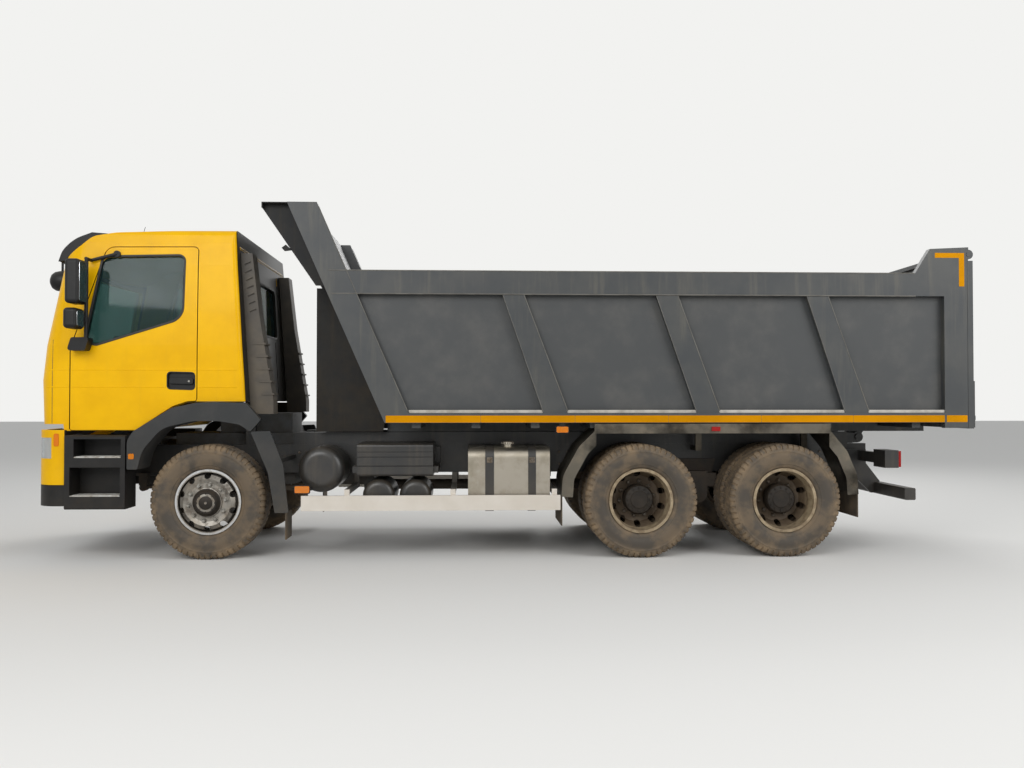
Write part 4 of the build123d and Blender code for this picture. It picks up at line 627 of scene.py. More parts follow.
@dataclass(frozen=True)
class TubSteel(Finish):
    """Sheet of the tub: painted outside, scoured and rusted bare steel inside.

    A point counts as inside where it lies within the side sheets, above the middle of
    the floor and behind the middle of the slanted front wall, where x plus the slope
    times z passes the wall's place at the floor.
    """

    paint: str = "3B3D3E"
    faded_paint: str = "5B5955"
    steel: str = "6E665D"
    rust: str = "6B4632"
    soil: str = "8C7A62"
    half_width_m: float = 1.175
    floor_m: float = 1.305
    wall_foot_m: tuple[float, float] = (-1.041, 1.309)
    wall_slope: float = 0.44196
    scour_top_m: tuple[float, float] = (2.6, 2.78)

    def shader(self, add: Adder) -> Socket:
        """Paint outside and bare steel inside.

        Args:
            add: Adds a node to the material.

        Returns:
            The shader.
        """
        coords = add("TexCoord", out="Object")
        inside = self.inside(add, coords)
        along = add("Mapping", {"Vector": coords, "Scale": (0.35, 1.0, 1.6)})
        scours = patches(add, along, 160.0, 9.0, (0.4, 0.66))
        bare = add("Mix", {0: scours, 6: self.steel, 7: self.rust}, **BLEND)
        soil = patches(add, coords, 320.0, 6.0, (0.48, 0.7), 0.7)
        bare = add("Mix", {0: soil, 6: bare, 7: self.soil}, **BLEND)
        clouds = patches(add, coords, 330.0, 8.0, (0.42, 0.78), 0.45)
        paint = add("Mix", {0: clouds, 6: self.paint, 7: self.faded_paint}, **BLEND)
        dents = add("TexNoise", blotches(coords, 380.0, 2.0))
        return add(
            "BsdfPrincipled",
            {
                "Base Color": add("Mix", {0: inside, 6: paint, 7: bare}, **BLEND),
                "Roughness": add("Math", (inside, 0.1, 0.52), **TIMES_PLUS),
                "Normal": self.relief(add, dents, 6.0),
            },
        )

    def inside(self, add: Adder, coords: Socket) -> Socket:
        """Share of bare steel: 1 inside the tub, less towards the top of its walls.

        Args:
            add: Adds a node to the material.
            coords: Coordinates in metres.

        Returns:
            Share from 0 to 1.
        """
        x, y, z = add("SeparateXYZ", (coords,)).node.outputs
        slanted = add("Math", (z, self.wall_slope, x), **TIMES_PLUS)
        limit = self.wall_foot_m[0] + self.wall_slope * self.wall_foot_m[1]
        behind = add("Math", (slanted, limit), operation="GREATER_THAN")
        off_middle = add("Math", (y,), **ABS)
        within = add("Math", (off_middle, self.half_width_m), operation="LESS_THAN")
        above = add("Math", (z, self.floor_m), operation="GREATER_THAN")
        share = add("Math", (add("Math", (behind, within), **TIMES), above), **TIMES)
        scoured = add("MapRange", (z, self.scour_top_m[1], self.scour_top_m[0]), **STEP)
        return add("Math", (share, scoured), **TIMES)


# Meshes


def twice_area(outline: np.ndarray) -> float:
    """Twice the area inside an outline: the sum of x1 y2 - x2 y1 over its sides.

    Args:
        outline: Corners, shape (N, 2).

    Returns:
        The sum, above zero where the outline runs anticlockwise.
    """
    x, y = outline[:, 0], outline[:, 1]
    return float(np.sum(x * np.roll(y, -1) - np.roll(x, -1) * y))


def grid_faces(rows: int, columns: int, wrap_rows: bool = False) -> np.ndarray:
    """Quads between the points of a grid, numbered row by row, each row a closed ring.

    Args:
        rows: Points along the first parameter.
        columns: Points along the second parameter.
        wrap_rows: Join the last row to the first.

    Returns:
        Array of shape (F, 4) of point numbers.
    """
    i = np.arange(rows if wrap_rows else rows - 1)[:, None]
    j = np.arange(columns)[None, :]
    i2, j2 = (i + 1) % rows, (j + 1) % columns
    quads = [i * columns + j, i2 * columns + j, i2 * columns + j2, i * columns + j2]
    return np.stack(quads, axis=-1).reshape(-1, 4)


@dataclass
class Shape:
    """Faces of one piece, gathered in millimetres from the front axle."""

    points: list[np.ndarray] = field(default_factory=list)
    faces: list[list[int]] = field(default_factory=list)
    count: int = 0

    def add(self, points: np.ndarray, faces: Sequence[Sequence[int]]) -> "Shape":
        """Append points and the faces that join them.

        Args:
            points: Array of shape (N, 3).
            faces: Point numbers of each face, counted from these points.

        Returns:
            This shape.
        """
        self.points.append(np.asarray(points, dtype=float))
        self.faces.extend([int(k) + self.count for k in face] for face in faces)
        self.count += len(points)
        return self

    def merge(self, *others: "Shape") -> "Shape":
        """Append other shapes.

        Args:
            others: Shapes that are copied in.

        Returns:
            This shape.
        """
        for other in others:
            self.add(np.concatenate(other.points), other.faces)
        return self

    def twin(self) -> "Shape":
        """Mirror image across the centreline, its faces turned to point outwards."""
        points = np.concatenate(self.points) * np.array([1.0, -1.0, 1.0])
        return Shape().add(points, [face[::-1] for face in self.faces])

    def outward(self) -> "Shape":
        """Turn a closed shape's faces so that its volume counts as positive.

        The volume is the sum over the faces, cut in triangles from their first corner, of
        the box product of the corners over six.

        Returns:
            This shape, its faces turned if they pointed inwards.
        """
        points = np.concatenate(self.points)
        points = points - points.mean(axis=0)
        volume = 0.0
        for face in self.faces:
            volume += float(np.sum(np.cross(points[face[1:-1]], points[face[2:]]) @ points[face[0]]))
        if volume < 0.0:
            self.faces = [face[::-1] for face in self.faces]
        return self

    def placed(self, order: Sequence[int], offset: Point) -> "Shape":
        """Swap the axes of a closed shape and move it.

        Args:
            order: Numbers of the old axes that become X, Y and Z.
            offset: Distance moved along the new axes.

        Returns:
            This shape.
        """
        self.points = [points[:, list(order)] + np.asarray(offset) for points in self.points]
        return self.outward()

    def plate(self, outline: np.ndarray, y0: float, y1: float) -> "Shape":
        """Prism of a side-view outline between two planes across the truck.

        Args:
            outline: Corners in X and Z, shape (N, 2).
            y0: First plane.
            y1: Second plane.

        Returns:
            This shape.
        """
        flat = np.asarray(outline, dtype=float)
        if twice_area(flat) < 0:
            flat = flat[::-1]
        count = len(flat)
        low, high = min(y0, y1), max(y0, y1)
        near = np.column_stack([flat[:, 0], np.full(count, low), flat[:, 1]])
        far = near + np.array([0.0, high - low, 0.0])
        walls = grid_faces(2, count).tolist()
        faces = [list(range(count)), list(range(2 * count - 1, count - 1, -1)), *walls]
        return self.add(np.concatenate([near, far]), faces)

    def box(self, low: Point, high: Point) -> "Shape":
        """Block between two corners.

        Args:
            low: Lowest X, Y and Z.
            high: Highest X, Y and Z.

        Returns:
            This shape.
        """
        corners = [(low[0], low[2]), (high[0], low[2]), (high[0], high[2]), (low[0], high[2])]
        return self.plate(np.array(corners), low[1], high[1])

    def turned(self, profile: Pairs | np.ndarray, centre: tuple[float, float], segments: int) -> "Shape":
        """Closed profile revolved about an axis across the truck.

        A point of the profile at radius r and place y goes round the circle
        x = centre x + r cos t, z = centre z + r sin t.

        Args:
            profile: Radius and Y of each corner, shape (K, 2), a closed loop.
            centre: X and Z of the axis.
            segments: Steps round the circle.

        Returns:
            This shape.
        """
        profile = np.asarray(profile, dtype=float)
        if twice_area(profile) > 0:
            profile = profile[::-1]
        turn = np.linspace(0.0, FULL_TURN, segments, endpoint=False)[:, None]
        x = centre[0] + profile[None, :, 0] * np.cos(turn)
        z = centre[1] + profile[None, :, 0] * np.sin(turn)
        y = np.broadcast_to(profile[None, :, 1], x.shape)
        points = np.stack([x, y, z], axis=-1).reshape(-1, 3)
        return self.add(points, grid_faces(segments, len(profile), True).tolist())

    def swept(
        self, path: np.ndarray, profile: np.ndarray, closed: bool = False, across: Point = (0.0, 1.0, 0.0)
    ) -> "Shape":
        """Closed profile carried along a path.

        At each point of the path the profile's first measure lies along the path's
        normal, and its second along the part of one fixed direction that stands square
        to the path.

        Args:
            path: Points of the path, shape (N, 3).
            profile: Corners of the profile, shape (K, 2).
            closed: Join the path's end to its start.
            across: The fixed direction.

        Returns:
            This shape.
        """
        path = np.asarray(path, dtype=float)
        profile = np.asarray(profile, dtype=float)
        if closed:
            along = np.roll(path, -1, axis=0) - np.roll(path, 1, axis=0)
        else:
            along = np.gradient(path, axis=0)
        along /= np.linalg.norm(along, axis=1, keepdims=True)
        fixed = np.broadcast_to(np.asarray(across, dtype=float), along.shape)
        fixed = fixed - along * np.sum(fixed * along, axis=1, keepdims=True)
        fixed = fixed / np.linalg.norm(fixed, axis=1, keepdims=True)
        normal = np.cross(fixed, along)
        rings = (
            path[:, None, :]
            + profile[None, :, 0, None] * normal[:, None, :]
            + profile[None, :, 1, None] * fixed[:, None, :]
        )
        rows, columns = rings.shape[:2]
        faces = grid_faces(rows, columns, closed).tolist()
        if not closed:
            faces.append(list(range(columns))[::-1])
            faces.append([(rows - 1) * columns + k for k in range(columns)])
        return self.add(rings.reshape(-1, 3), faces)

    def tube(self, path: np.ndarray, radius: float, sides: int = 8) -> "Shape":
        """Round bar or pipe along a path.

        Its section is a circle, and the fixed direction of the sweep is the axis along
        which the path changes least.

        Args:
            path: Points of the path, shape (N, 3).
            radius: Radius of the pipe.
            sides: Corners of its section.

        Returns:
            This shape.
        """
        turn = np.linspace(0.0, FULL_TURN, sides, endpoint=False)
        profile = radius * np.column_stack([np.cos(turn), np.sin(turn)])
        across = np.eye(3)[int(np.argmin(np.ptp(path, axis=0)))]
        return self.swept(path, profile, False, across)

    def hex_heads(self, centres: np.ndarray, out: Point, across_flats: float, height: float) -> "Shape":
        """Chamfered six-sided bolt heads, all pointing the same way.

        Each head is three rings of a hexagon along the axis, the last drawn in by a
        sixth, with a flat top.

        Args:
            centres: Foot of each head, shape (N, 3).
            out: Direction in which the heads stand out.
            across_flats: Width over two flats.
            height: Height of a head.

        Returns:
            This shape.
        """
        axis = np.asarray(out, dtype=float)
        first = np.cross([0.0, 0.0, 1.0], axis)
        first /= np.linalg.norm(first)
        second = np.cross(axis, first)
        turn = np.arange(6) * math.pi / 3.0
        ring = np.cos(turn)[:, None] * first + np.sin(turn)[:, None] * second
        radius = across_flats / math.sqrt(3.0)
        levels = ((1.0, 0.0), (1.0, 0.75), (0.83, 1.0))
        base = np.concatenate([ring * radius * scale + axis * height * rise for scale, rise in levels])
        faces = grid_faces(3, 6)[:, ::-1].tolist()
        faces += [list(range(5, -1, -1)), list(range(12, 18))]
        for centre in np.asarray(centres, dtype=float):
            self.add(base + centre, faces)
        return self


def straight(start: Point, end: Point, count: int) -> np.ndarray:
    """Points at equal steps on a straight line.

    Args:
        start: First point.
        end: Last point.
        count: Number of points.

    Returns:
        Array with one row for each point.
    """
    start = np.asarray(start, dtype=float)
    return start + (np.asarray(end, dtype=float) - start) * np.linspace(0.0, 1.0, count)[:, None]


def smooth_curve(corners: Sequence[Point], per_span: int = 8) -> np.ndarray:
    """Catmull-Rom curve through the corners.

    Each span is the cubic that passes both its ends with slopes of half the chord
    between the neighbours.

    Args:
        corners: Points to pass, two or three numbers each.
        per_span: Points on each span.

    Returns:
        Points on the curve.
    """
    points = np.asarray(corners, dtype=float)
    padded = np.concatenate([2 * points[:1] - points[1:2], points, 2 * points[-1:] - points[-2:-1]])
    t = np.linspace(0.0, 1.0, per_span, endpoint=False)[None, :, None]
    a, b, c, d = (padded[k : len(padded) - 3 + k][:, None, :] for k in range(4))
    cubic = (3 * b - a - 3 * c + d) * t**3
    curve = 0.5 * (2 * b + (c - a) * t + (2 * a - 5 * b + 4 * c - d) * t**2 + cubic)
    return np.concatenate([curve.reshape(-1, points.shape[1]), points[-1:]])


def rounded_outline(corners: Corners, steps: int = 8) -> np.ndarray:
    """Closed outline whose corners are rounded by arcs.

    A corner of radius r is cut back by r / tan(half its angle) along both its sides,
    and the arc between runs about the point that lies r from each side.

    Args:
        corners: First measure, second measure and radius of each corner.
        steps: Points on each arc.

    Returns:
        Points of the outline, shape (N, 2).
    """
    table = np.asarray(corners, dtype=float)
    arcs = []
    for k in range(len(table)):
        here, radius = table[k, :2], table[k, 2]
        before = table[k - 1, :2] - here
        after = table[(k + 1) % len(table), :2] - here
        before /= np.linalg.norm(before)
        after /= np.linalg.norm(after)
        half = math.acos(float(np.clip(before @ after, -1.0, 1.0))) / 2.0
        cut = radius / math.tan(half)
        middle = before + after
        centre = here + middle / np.linalg.norm(middle) * radius / math.sin(half)
        start = here + before * cut - centre
        end = here + after * cut - centre
        angle = math.atan2(start[1], start[0])
        sweep = (math.atan2(end[1], end[0]) - angle + math.pi) % FULL_TURN - math.pi
        turn = angle + np.linspace(0.0, 1.0, steps) * sweep
        arcs.append(centre + radius * np.column_stack([np.cos(turn), np.sin(turn)]))
    return np.concatenate(arcs)


def rounded_box(u0: float, u1: float, v0: float, v1: float, radius: float, steps: int = 8) -> np.ndarray:
    """Outline of a box with four like rounded corners.

    Args:
        u0: First measure at one end.
        u1: First measure at the other end.
        v0: Second measure at one end.
        v1: Second measure at the other end.
        radius: Radius of the corners.
        steps: Points on each arc.

    Returns:
        Points of the outline, shape (N, 2).
    """
    corners = [(u0, v0, radius), (u1, v0, radius), (u1, v1, radius), (u0, v1, radius)]
    return rounded_outline(corners, steps)


def resampled(outline: np.ndarray, step: float) -> np.ndarray:
    """Closed outline with extra points wherever two stand more than a step apart.

    Args:
        outline: Corners, shape (N, 2).
        step: Largest distance.

    Returns:
        Points of the outline.
    """
    out = []
    for here, after in zip(outline, np.roll(outline, -1, axis=0)):
        count = max(1, math.ceil(np.linalg.norm(after - here) / step))
        out.append(straight(here, after, count + 1)[:-1])
    return np.concatenate(out)


def widened(outline: np.ndarray, margin: float) -> np.ndarray:
    """Outline moved outwards along its own normals.

    Args:
        outline: Corners, shape (N, 2).
        margin: Distance outwards.

    Returns:
        Points of the wider outline.
    """
    along = np.roll(outline, -1, axis=0) - np.roll(outline, 1, axis=0)
    normal = np.column_stack([along[:, 1], -along[:, 0]])
    normal /= np.linalg.norm(normal, axis=1, keepdims=True)
    return outline + normal * math.copysign(margin, twice_area(outline))


@dataclass
class Workshop:
    """Turns shapes into finished Blender pieces and keeps one material for each finish."""

    materials: dict[str, bpy.types.Material] = field(default_factory=dict)
    edge_angle_deg: float = 40.0

    def material(self, finish: Finish) -> bpy.types.Material:
        """Material of a finish, made once.

        Args:
            finish: The finish.

        Returns:
            Its material.
        """
        if finish.name not in self.materials:
            self.materials[finish.name] = finish.build()
        return self.materials[finish.name]

    def cover(self, mesh: bpy.types.Mesh, finish: Finish) -> None:
        """Give a mesh its finish and shade all its faces as smooth.

        Args:
            mesh: Mesh of a piece or of a CAD node.
            finish: The finish.
        """
        mesh.materials.clear()
        mesh.materials.append(self.material(finish))
        mesh.polygons.foreach_set("use_smooth", np.ones(len(mesh.polygons), dtype=bool))

    def piece(
        self,
        name: str,
        shape: Shape,
        finish: Finish,
        body: str,
        slot: str,
        edge: Edge = Edge.SHARP,
        smooth_deg: float = 32.0,
        replaces: Sequence[str] = (),
    ) -> bpy.types.Object:
        """Make one piece of the truck.

        Args:
            name: Name of the piece.
            shape: Its faces.
            finish: Its finish.
            body: CAD body that it moves with.
            slot: Material slot of the record. Not used.
            edge: How sharp edges are finished.
            smooth_deg: Angle below which faces shade as one.
            replaces: CAD nodes that the piece stands for.

        Returns:
            The new object.
        """
        mesh = bpy.data.meshes.new(name)
        mesh.from_pydata(to_frame(np.concatenate(shape.points)).tolist(), [], shape.faces)
        mesh.validate()
        mesh.update()
        self.cover(mesh, finish)
        mesh.set_sharp_from_angle(angle=math.radians(smooth_deg))
        thing = bpy.data.objects.new(name, mesh)
        bpy.context.scene.collection.objects.link(thing)
        if edge is not Edge.SHARP:
            bevel = thing.modifiers.new("edge", "BEVEL")
            bevel.segments = edge.value[0]
            bevel.width = edge.value[1] * MM
            bevel.limit_method = "ANGLE"
            bevel.angle_limit = math.radians(self.edge_angle_deg)
            bevel.harden_normals = False
        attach(thing, body)
        if replaces:
            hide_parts(*replaces)
        LOG.info("%s: %d faces, moves with %s", name, len(mesh.polygons), body)
        return thing

    def pair(
        self, label: str, shape: Shape, finish: Finish, body: str, slot: str, edge: Edge = Edge.SHARP
    ) -> None:
        """Make a piece on the driver's side and its mirror image on the passenger's.

        Args:
            label: Name of the piece without the word of its side.
            shape: Faces of the driver's piece.
            finish: Its finish.
            body: CAD body that it moves with, with {} where the word of the side stands.
            slot: Material slot of the record.
            edge: How sharp edges are finished.
        """
        for side, own in ((Side.DRIVER, shape), (Side.PASSENGER, shape.twin())):
            name = f"{label}_{side.word}"
            self.piece(name, own, finish, body.format(side.word), slot, edge)

    def dress(self, finish: Finish, *nodes: str) -> None:
        """Give CAD nodes a finish.

        Args:
            finish: The finish.
            nodes: Names of the nodes.
        """
        for node in nodes:
            self.cover(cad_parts[node].data, finish)
            LOG.info("%s: dressed as %s", node, finish.name)


class Skin:
    """Outer surface of some CAD nodes, which pieces are laid on by straight rays."""

    reach: float = 3000.0
    ray_length_m: float = 8.0
    gap: float = 0.3

    def __init__(self, *nodes: str) -> None:
        """Gather the triangles of the nodes.

        Args:
            nodes: Names of the CAD nodes.
        """
        points, triangles, count = [], [], 0
        for name in nodes:
            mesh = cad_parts[name].data
            places = np.empty(3 * len(mesh.vertices), dtype=np.float32)
            mesh.vertices.foreach_get("co", places)
            corners = np.empty(len(mesh.loops), dtype=np.int32)
            mesh.loops.foreach_get("vertex_index", corners)
            points.append(places.reshape(-1, 3))
            triangles.append(corners.reshape(-1, 3) + count)
            count += len(mesh.vertices)
        faces = np.concatenate(triangles).tolist()
        self.tree = BVHTree.FromPolygons(np.concatenate(points).tolist(), faces)

    def project(self, points: np.ndarray, facing: Facing, lift: float = 0.0) -> np.ndarray:
        """Drop points onto the surface from outside it.

        A ray that misses keeps the depth of its nearest neighbours in the list that hit.

        Args:
            points: Points with two measures on that face, or with three.
            facing: Face of the truck that the rays fall on.
            lift: Distance that the result stays clear of the surface, against the rays.

        Returns:
            Points on the surface, shape (N, 3).
        """
        if points.shape[1] == 2:
            points = facing.upright(points)
        ray = facing.ray
        starts = to_frame(points - ray * self.reach)
        hits = [self.tree.ray_cast(Vector(start), Vector(ray), self.ray_length_m) for start in starts]
        depth = np.array([np.nan if hit[0] is None else hit[3] / MM - self.reach for hit in hits])
        known = np.flatnonzero(~np.isnan(depth))
        if len(known) == 0:
            raise ValueError("no ray met the surface")
        depth = np.interp(np.arange(len(points)), known, depth[known])
        return points + ray * (depth - lift)[:, None]

    def patch(self, corners: Corners, facing: Facing, thick: float, cell: float) -> Shape:
        """Thin panel that follows the surface inside a rounded outline.

        Rings of points run from the outline to its middle by equal steps, so the panel
        bends with the surface below it. The back lies just off the surface and the front
        one thickness above it.

        Args:
            corners: First measure, second measure and radius of each corner.
            facing: Face of the truck that it lies on.
            thick: Thickness of the panel.
            cell: Largest step between points.

        Returns:
            The panel.
        """
        outline = resampled(rounded_outline(corners), cell)
        middle = outline.mean(axis=0)
        size = float(np.max(np.linalg.norm(outline - middle, axis=1)))
        rings = max(2, int(size / cell) + 1)
        columns = len(outline)
        scale = np.linspace(1.0, 0.0, rings, endpoint=False)
        flat = middle + (outline - middle)[None, :, :] * scale[:, None, None]
        flat = np.concatenate([flat.reshape(-1, 2), middle[None, :]])
        back = self.project(flat, facing, self.gap)
        front = back - facing.ray * thick
        here = np.arange(columns)
        after = (here + 1) % columns
        last = (rings - 1) * columns
        fan = np.column_stack([last + here, np.full(columns, rings * columns), last + after])
        top = [*grid_faces(rings, columns).tolist(), *fan.tolist()]
        shift = len(back)
        low = [[k + shift for k in face][::-1] for face in top]
        rim = np.column_stack([here, here + shift, after + shift, after]).tolist()
        return Shape().add(np.concatenate([front, back]), top + low + rim).outward()


# Wheels


def bolt_circle(count: int, radius: float, x: float, y: float, start: float = 0.0) -> np.ndarray:
    """Places on a circle about a wheel's axle.

    Args:
        count: Number of places.
        radius: Radius of the circle.
        x: Place of the axle.
        y: Plane of the circle.
        start: Angle of the first place in radians.

    Returns:
        Array of shape (count, 3).
    """
    turn = np.arange(count) * FULL_TURN / count + start
    return np.column_stack([x + radius * np.cos(turn), np.full(count, y), AXLE_Z + radius * np.sin(turn)])


def outwards(section: Pairs, plane: float, out: int) -> np.ndarray:
    """Radius and Y of a section that is given by its distance out of a plane.

    Args:
        section: Radius and distance out of the plane for each corner.
        plane: Distance of the plane from the truck's middle.
        out: Sign of the open side on the Y axis.

    Returns:
        Array of shape (K, 2).
    """
    table = np.array(section)
    return np.column_stack([table[:, 0], out * (plane + table[:, 1])])


@dataclass(frozen=True)
class Trim:
    """Small pieces of one sub-assembly, made by the given workshop."""

    shop: Workshop


@dataclass(frozen=True)
class RoadTyre(Trim):
    """Radial truck tyre with zigzag grooves round the tread and notched shoulder blocks.

    The skin is a grid. One way runs from bead to bead over the outside, the other runs
    round the wheel with six steps to each shoulder block, two of them steep flanks of a
    notch. Both ends of the first way meet at the rim, so the skin is closed. A pitch is
    one shoulder block; its steps and the share of the notch at each are given for one.
    """

    radius: float = 524.6
    half_width: float = 157.0
    bead_radius: float = 286.4
    bead_half: float = 112.4
    pitches: int = 58
    pitch_steps: tuple[float, ...] = (0.0, 0.05, 0.27, 0.32, 0.55, 0.78)
    pitch_notch: tuple[float, ...] = (0.0, 1.0, 1.0, 0.0, 0.0, 0.0)
    groove_depth: float = 12.0
    groove_flank: float = 2.5
    notch_depth: float = 10.0
    zigzag: float = 5.0
    grooves: Pairs = ((74.0, 7.0), (24.0, 7.0))
    core_radius: float = 420.0

    def half_section(self) -> np.ndarray:
        """Section from the bead to the middle of the tread on the side that faces +Y.

        Columns are radius, Y, share of the notch and share of the zigzag, then depth in
        the tread from 0 to 1.

        Returns:
            Array of shape (K, 5).
        """
        wide, top = self.half_width, self.radius
        wall = (
            (self.bead_radius, self.bead_half), (299.4, self.bead_half), (308.0, 126.0), (317.0, 134.5),
            (330.0, 139.0), (338.0, 143.5), (340.0, 146.5), (347.0, 147.5), (349.0, 148.0), (365.0, 153.0),
            (388.0, wide), (412.0, wide), (436.0, 155.4), (452.0, 153.6), (454.0, 154.8), (460.0, 154.2),
            (462.0, 152.6), (478.0, 151.4),
        )
        shoulder = ((484.0, 150.6, 0.9), (497.0, 147.0, 1.0), (510.0, 139.5, 1.0))
        crown = ((top - 3.0, 125.0, 1.0), (top, 118.0, 1.0), (top, 97.0, 0.75))
        rows = [(r, y, 0.0, 0.0, 0.0) for r, y in wall]
        rows += [(r, y, notch, 0.0, 0.0) for r, y, notch in shoulder + crown]
        for centre, width in self.grooves:
            low = width - self.groove_flank
            for offset, depth in ((width, 0.0), (low, 1.0), (-low, 1.0), (-width, 0.0)):
                rows.append((top - depth * self.groove_depth, centre + offset, 0.0, 1.0, depth))
        rows.append((top, 0.0, 0.0, 0.0, 0.0))
        return np.array(rows)

    def skin(self, x: float, y: float) -> tuple[np.ndarray, np.ndarray, np.ndarray, np.ndarray]:
        """Points and faces of one tyre.

        The angle of row i is its pitch number plus its step in the pitch, over the
        number of pitches, times a full turn. A notch draws the section in along its
        normal by the notch depth times the column's share, and a groove's columns swing
        sideways as a triangle wave with one tooth to a pitch.

        Args:
            x: Place of the axle.
            y: Middle of the tyre.

        Returns:
            Points, faces, radius at each point and groove depth at each point.
        """
        half = self.half_section()
        mirrored = half[:-1][::-1] * np.array([1.0, -1.0, 1.0, 1.0, 1.0])
        section = np.concatenate([half, mirrored])
        reach, offset, share, swing, groove = section.T
        steps = np.array(self.pitch_steps)
        pitch = np.arange(self.pitches)[:, None]
        turn = ((pitch + steps[None, :]) / self.pitches * FULL_TURN).reshape(-1, 1)
        notch = np.tile(self.pitch_notch, self.pitches)[:, None] * share
        wave = np.tile(np.abs(steps * 2.0 - 1.0) * 2.0 - 1.0, self.pitches)[:, None]
        along = np.gradient(section[:, :2], axis=0)
        normal = np.column_stack([-along[:, 1], along[:, 0]])
        normal /= np.linalg.norm(normal, axis=1, keepdims=True)
        leaves = offset * normal[:, 1] + (reach - self.core_radius) * normal[:, 0] > 0
        inward = normal * np.where(leaves, -1.0, 1.0)[:, None]
        radius = reach + notch * self.notch_depth * inward[:, 0]
        across = offset + notch * self.notch_depth * inward[:, 1] + wave * swing * self.zigzag
        points = np.stack([x + radius * np.cos(turn), y + across, AXLE_Z + radius * np.sin(turn)], axis=-1)
        faces = grid_faces(*radius.shape, True)
        return points.reshape(-1, 3), faces, radius.ravel(), np.maximum(notch, groove).ravel()

    def fit(self, name: str, body: str, node: str, places: Pairs) -> None:
        """Make the tyres of one wheel.

        Args:
            name: Name of the piece.
            body: CAD body that it moves with.
            node: CAD node that it stands for.
            places: X and Y of the middle of each tyre.
        """
        shape = Shape()
        radii, depths = [], []
        for x, y in places:
            points, faces, radius, deep = self.skin(x, y)
            shape.add(points, faces.tolist())
            radii.append(radius)
            depths.append(deep)
        shop = self.shop
        tyre = shop.piece(name, shape, TYRE_RUBBER, body, "tyre_rubber", smooth_deg=38.0, replaces=(node,))
        for label, values in (("radius_mm", radii), ("groove", depths)):
            store = tyre.data.attributes.new(label, "FLOAT", "POINT")
            store.data.foreach_set("value", np.concatenate(values).astype(np.float32))


